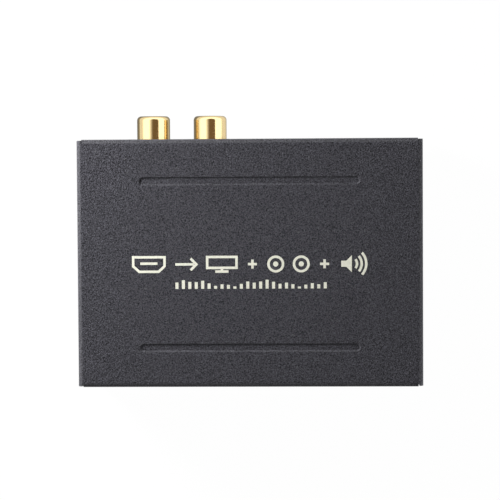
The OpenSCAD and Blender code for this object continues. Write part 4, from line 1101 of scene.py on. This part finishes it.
class SPLITTER_OT_board(bpy.types.Operator):
    """Circuit board with its chips, cans and small parts"""

    bl_idname = "splitter.board"
    bl_label = "Board"

    def execute(self, context):
        s, metal = context.scene.splitter_board, context.scene.splitter_metal
        dress(solder_mask("solder_mask", s.mask, s.trace, s.trace_width), "circuit_board")
        resin = moulded("chip_resin", CHIP_RESIN, 0.55, grain=0.15 * MM, depth=0.008 * MM)
        dress(resin, "processor_chip", "audio_chips", "voltage_regulators", "power_inductor",
              "power_diode", "protection_arrays", "chip_resistors")
        dress(plated("chip_leads", metal.tin, 0.33), "processor_leads", "audio_chip_leads",
              "regulator_tabs", "crystal_can", "chip_end_caps")
        dress(plated("can_aluminium", s.can, 0.24), "capacitor_cans")
        dress(moulded("base_black", BASE_BLACK, 0.5), "capacitor_bases")
        dress(moulded("tan_ceramic", TAN_CERAMIC, 0.45, grain=0.1 * MM), "chip_capacitors")
        return {"FINISHED"}


class SPLITTER_OT_feet(bpy.types.Operator):
    """Matt rubber feet"""

    bl_idname = "splitter.feet"
    bl_label = "Feet"

    def execute(self, context):
        tone = context.scene.splitter_plastic.rubber
        rubber = moulded("foot_rubber", tone, 0.78, grain=0.3 * MM, depth=0.02 * MM, shine=0.3)
        dress(rubber, "rubber_feet")
        return {"FINISHED"}


OPERATORS = (
    SPLITTER_OT_stage,
    SPLITTER_OT_coat,
    SPLITTER_OT_print,
    SPLITTER_OT_screws,
    SPLITTER_OT_jacks,
    SPLITTER_OT_optical,
    SPLITTER_OT_video,
    SPLITTER_OT_front,
    SPLITTER_OT_board,
    SPLITTER_OT_feet,
)
SETTINGS = {
    "splitter_stage": StageSettings,
    "splitter_coat": CoatSettings,
    "splitter_print": PrintSettings,
    "splitter_metal": MetalSettings,
    "splitter_plastic": PlasticSettings,
    "splitter_board": BoardSettings,
}


class SPLITTER_PT_panel(bpy.types.Panel):
    """Lists the operators and the sizes and colours that they read"""

    bl_idname = "SPLITTER_PT_panel"
    bl_label = "Splitter box"
    bl_space_type = "VIEW_3D"
    bl_region_type = "UI"
    bl_category = "Splitter box"

    def draw(self, context):
        for operator in OPERATORS:
            self.layout.operator(operator.bl_idname, text=operator.bl_label)
        for name, settings in SETTINGS.items():
            box = self.layout.box()
            for key in settings.__annotations__:
                box.prop(getattr(context.scene, name), key)


def register():
    """Registers the settings, operators and panel."""
    for name, settings in SETTINGS.items():
        bpy.utils.register_class(settings)
        setattr(bpy.types.Scene, name, PointerProperty(type=settings))
    for operator in OPERATORS:
        bpy.utils.register_class(operator)
    bpy.utils.register_class(SPLITTER_PT_panel)


def unregister():
    """Takes them out again."""
    bpy.utils.unregister_class(SPLITTER_PT_panel)
    for operator in reversed(OPERATORS):
        bpy.utils.unregister_class(operator)
    for name, settings in SETTINGS.items():
        delattr(bpy.types.Scene, name)
        bpy.utils.unregister_class(settings)


def main():
    """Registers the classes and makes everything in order."""
    register()
    for operator in OPERATORS:
        getattr(bpy.ops.splitter, operator.bl_idname.split(".")[1])()


if __name__ == "__main__":
    main()
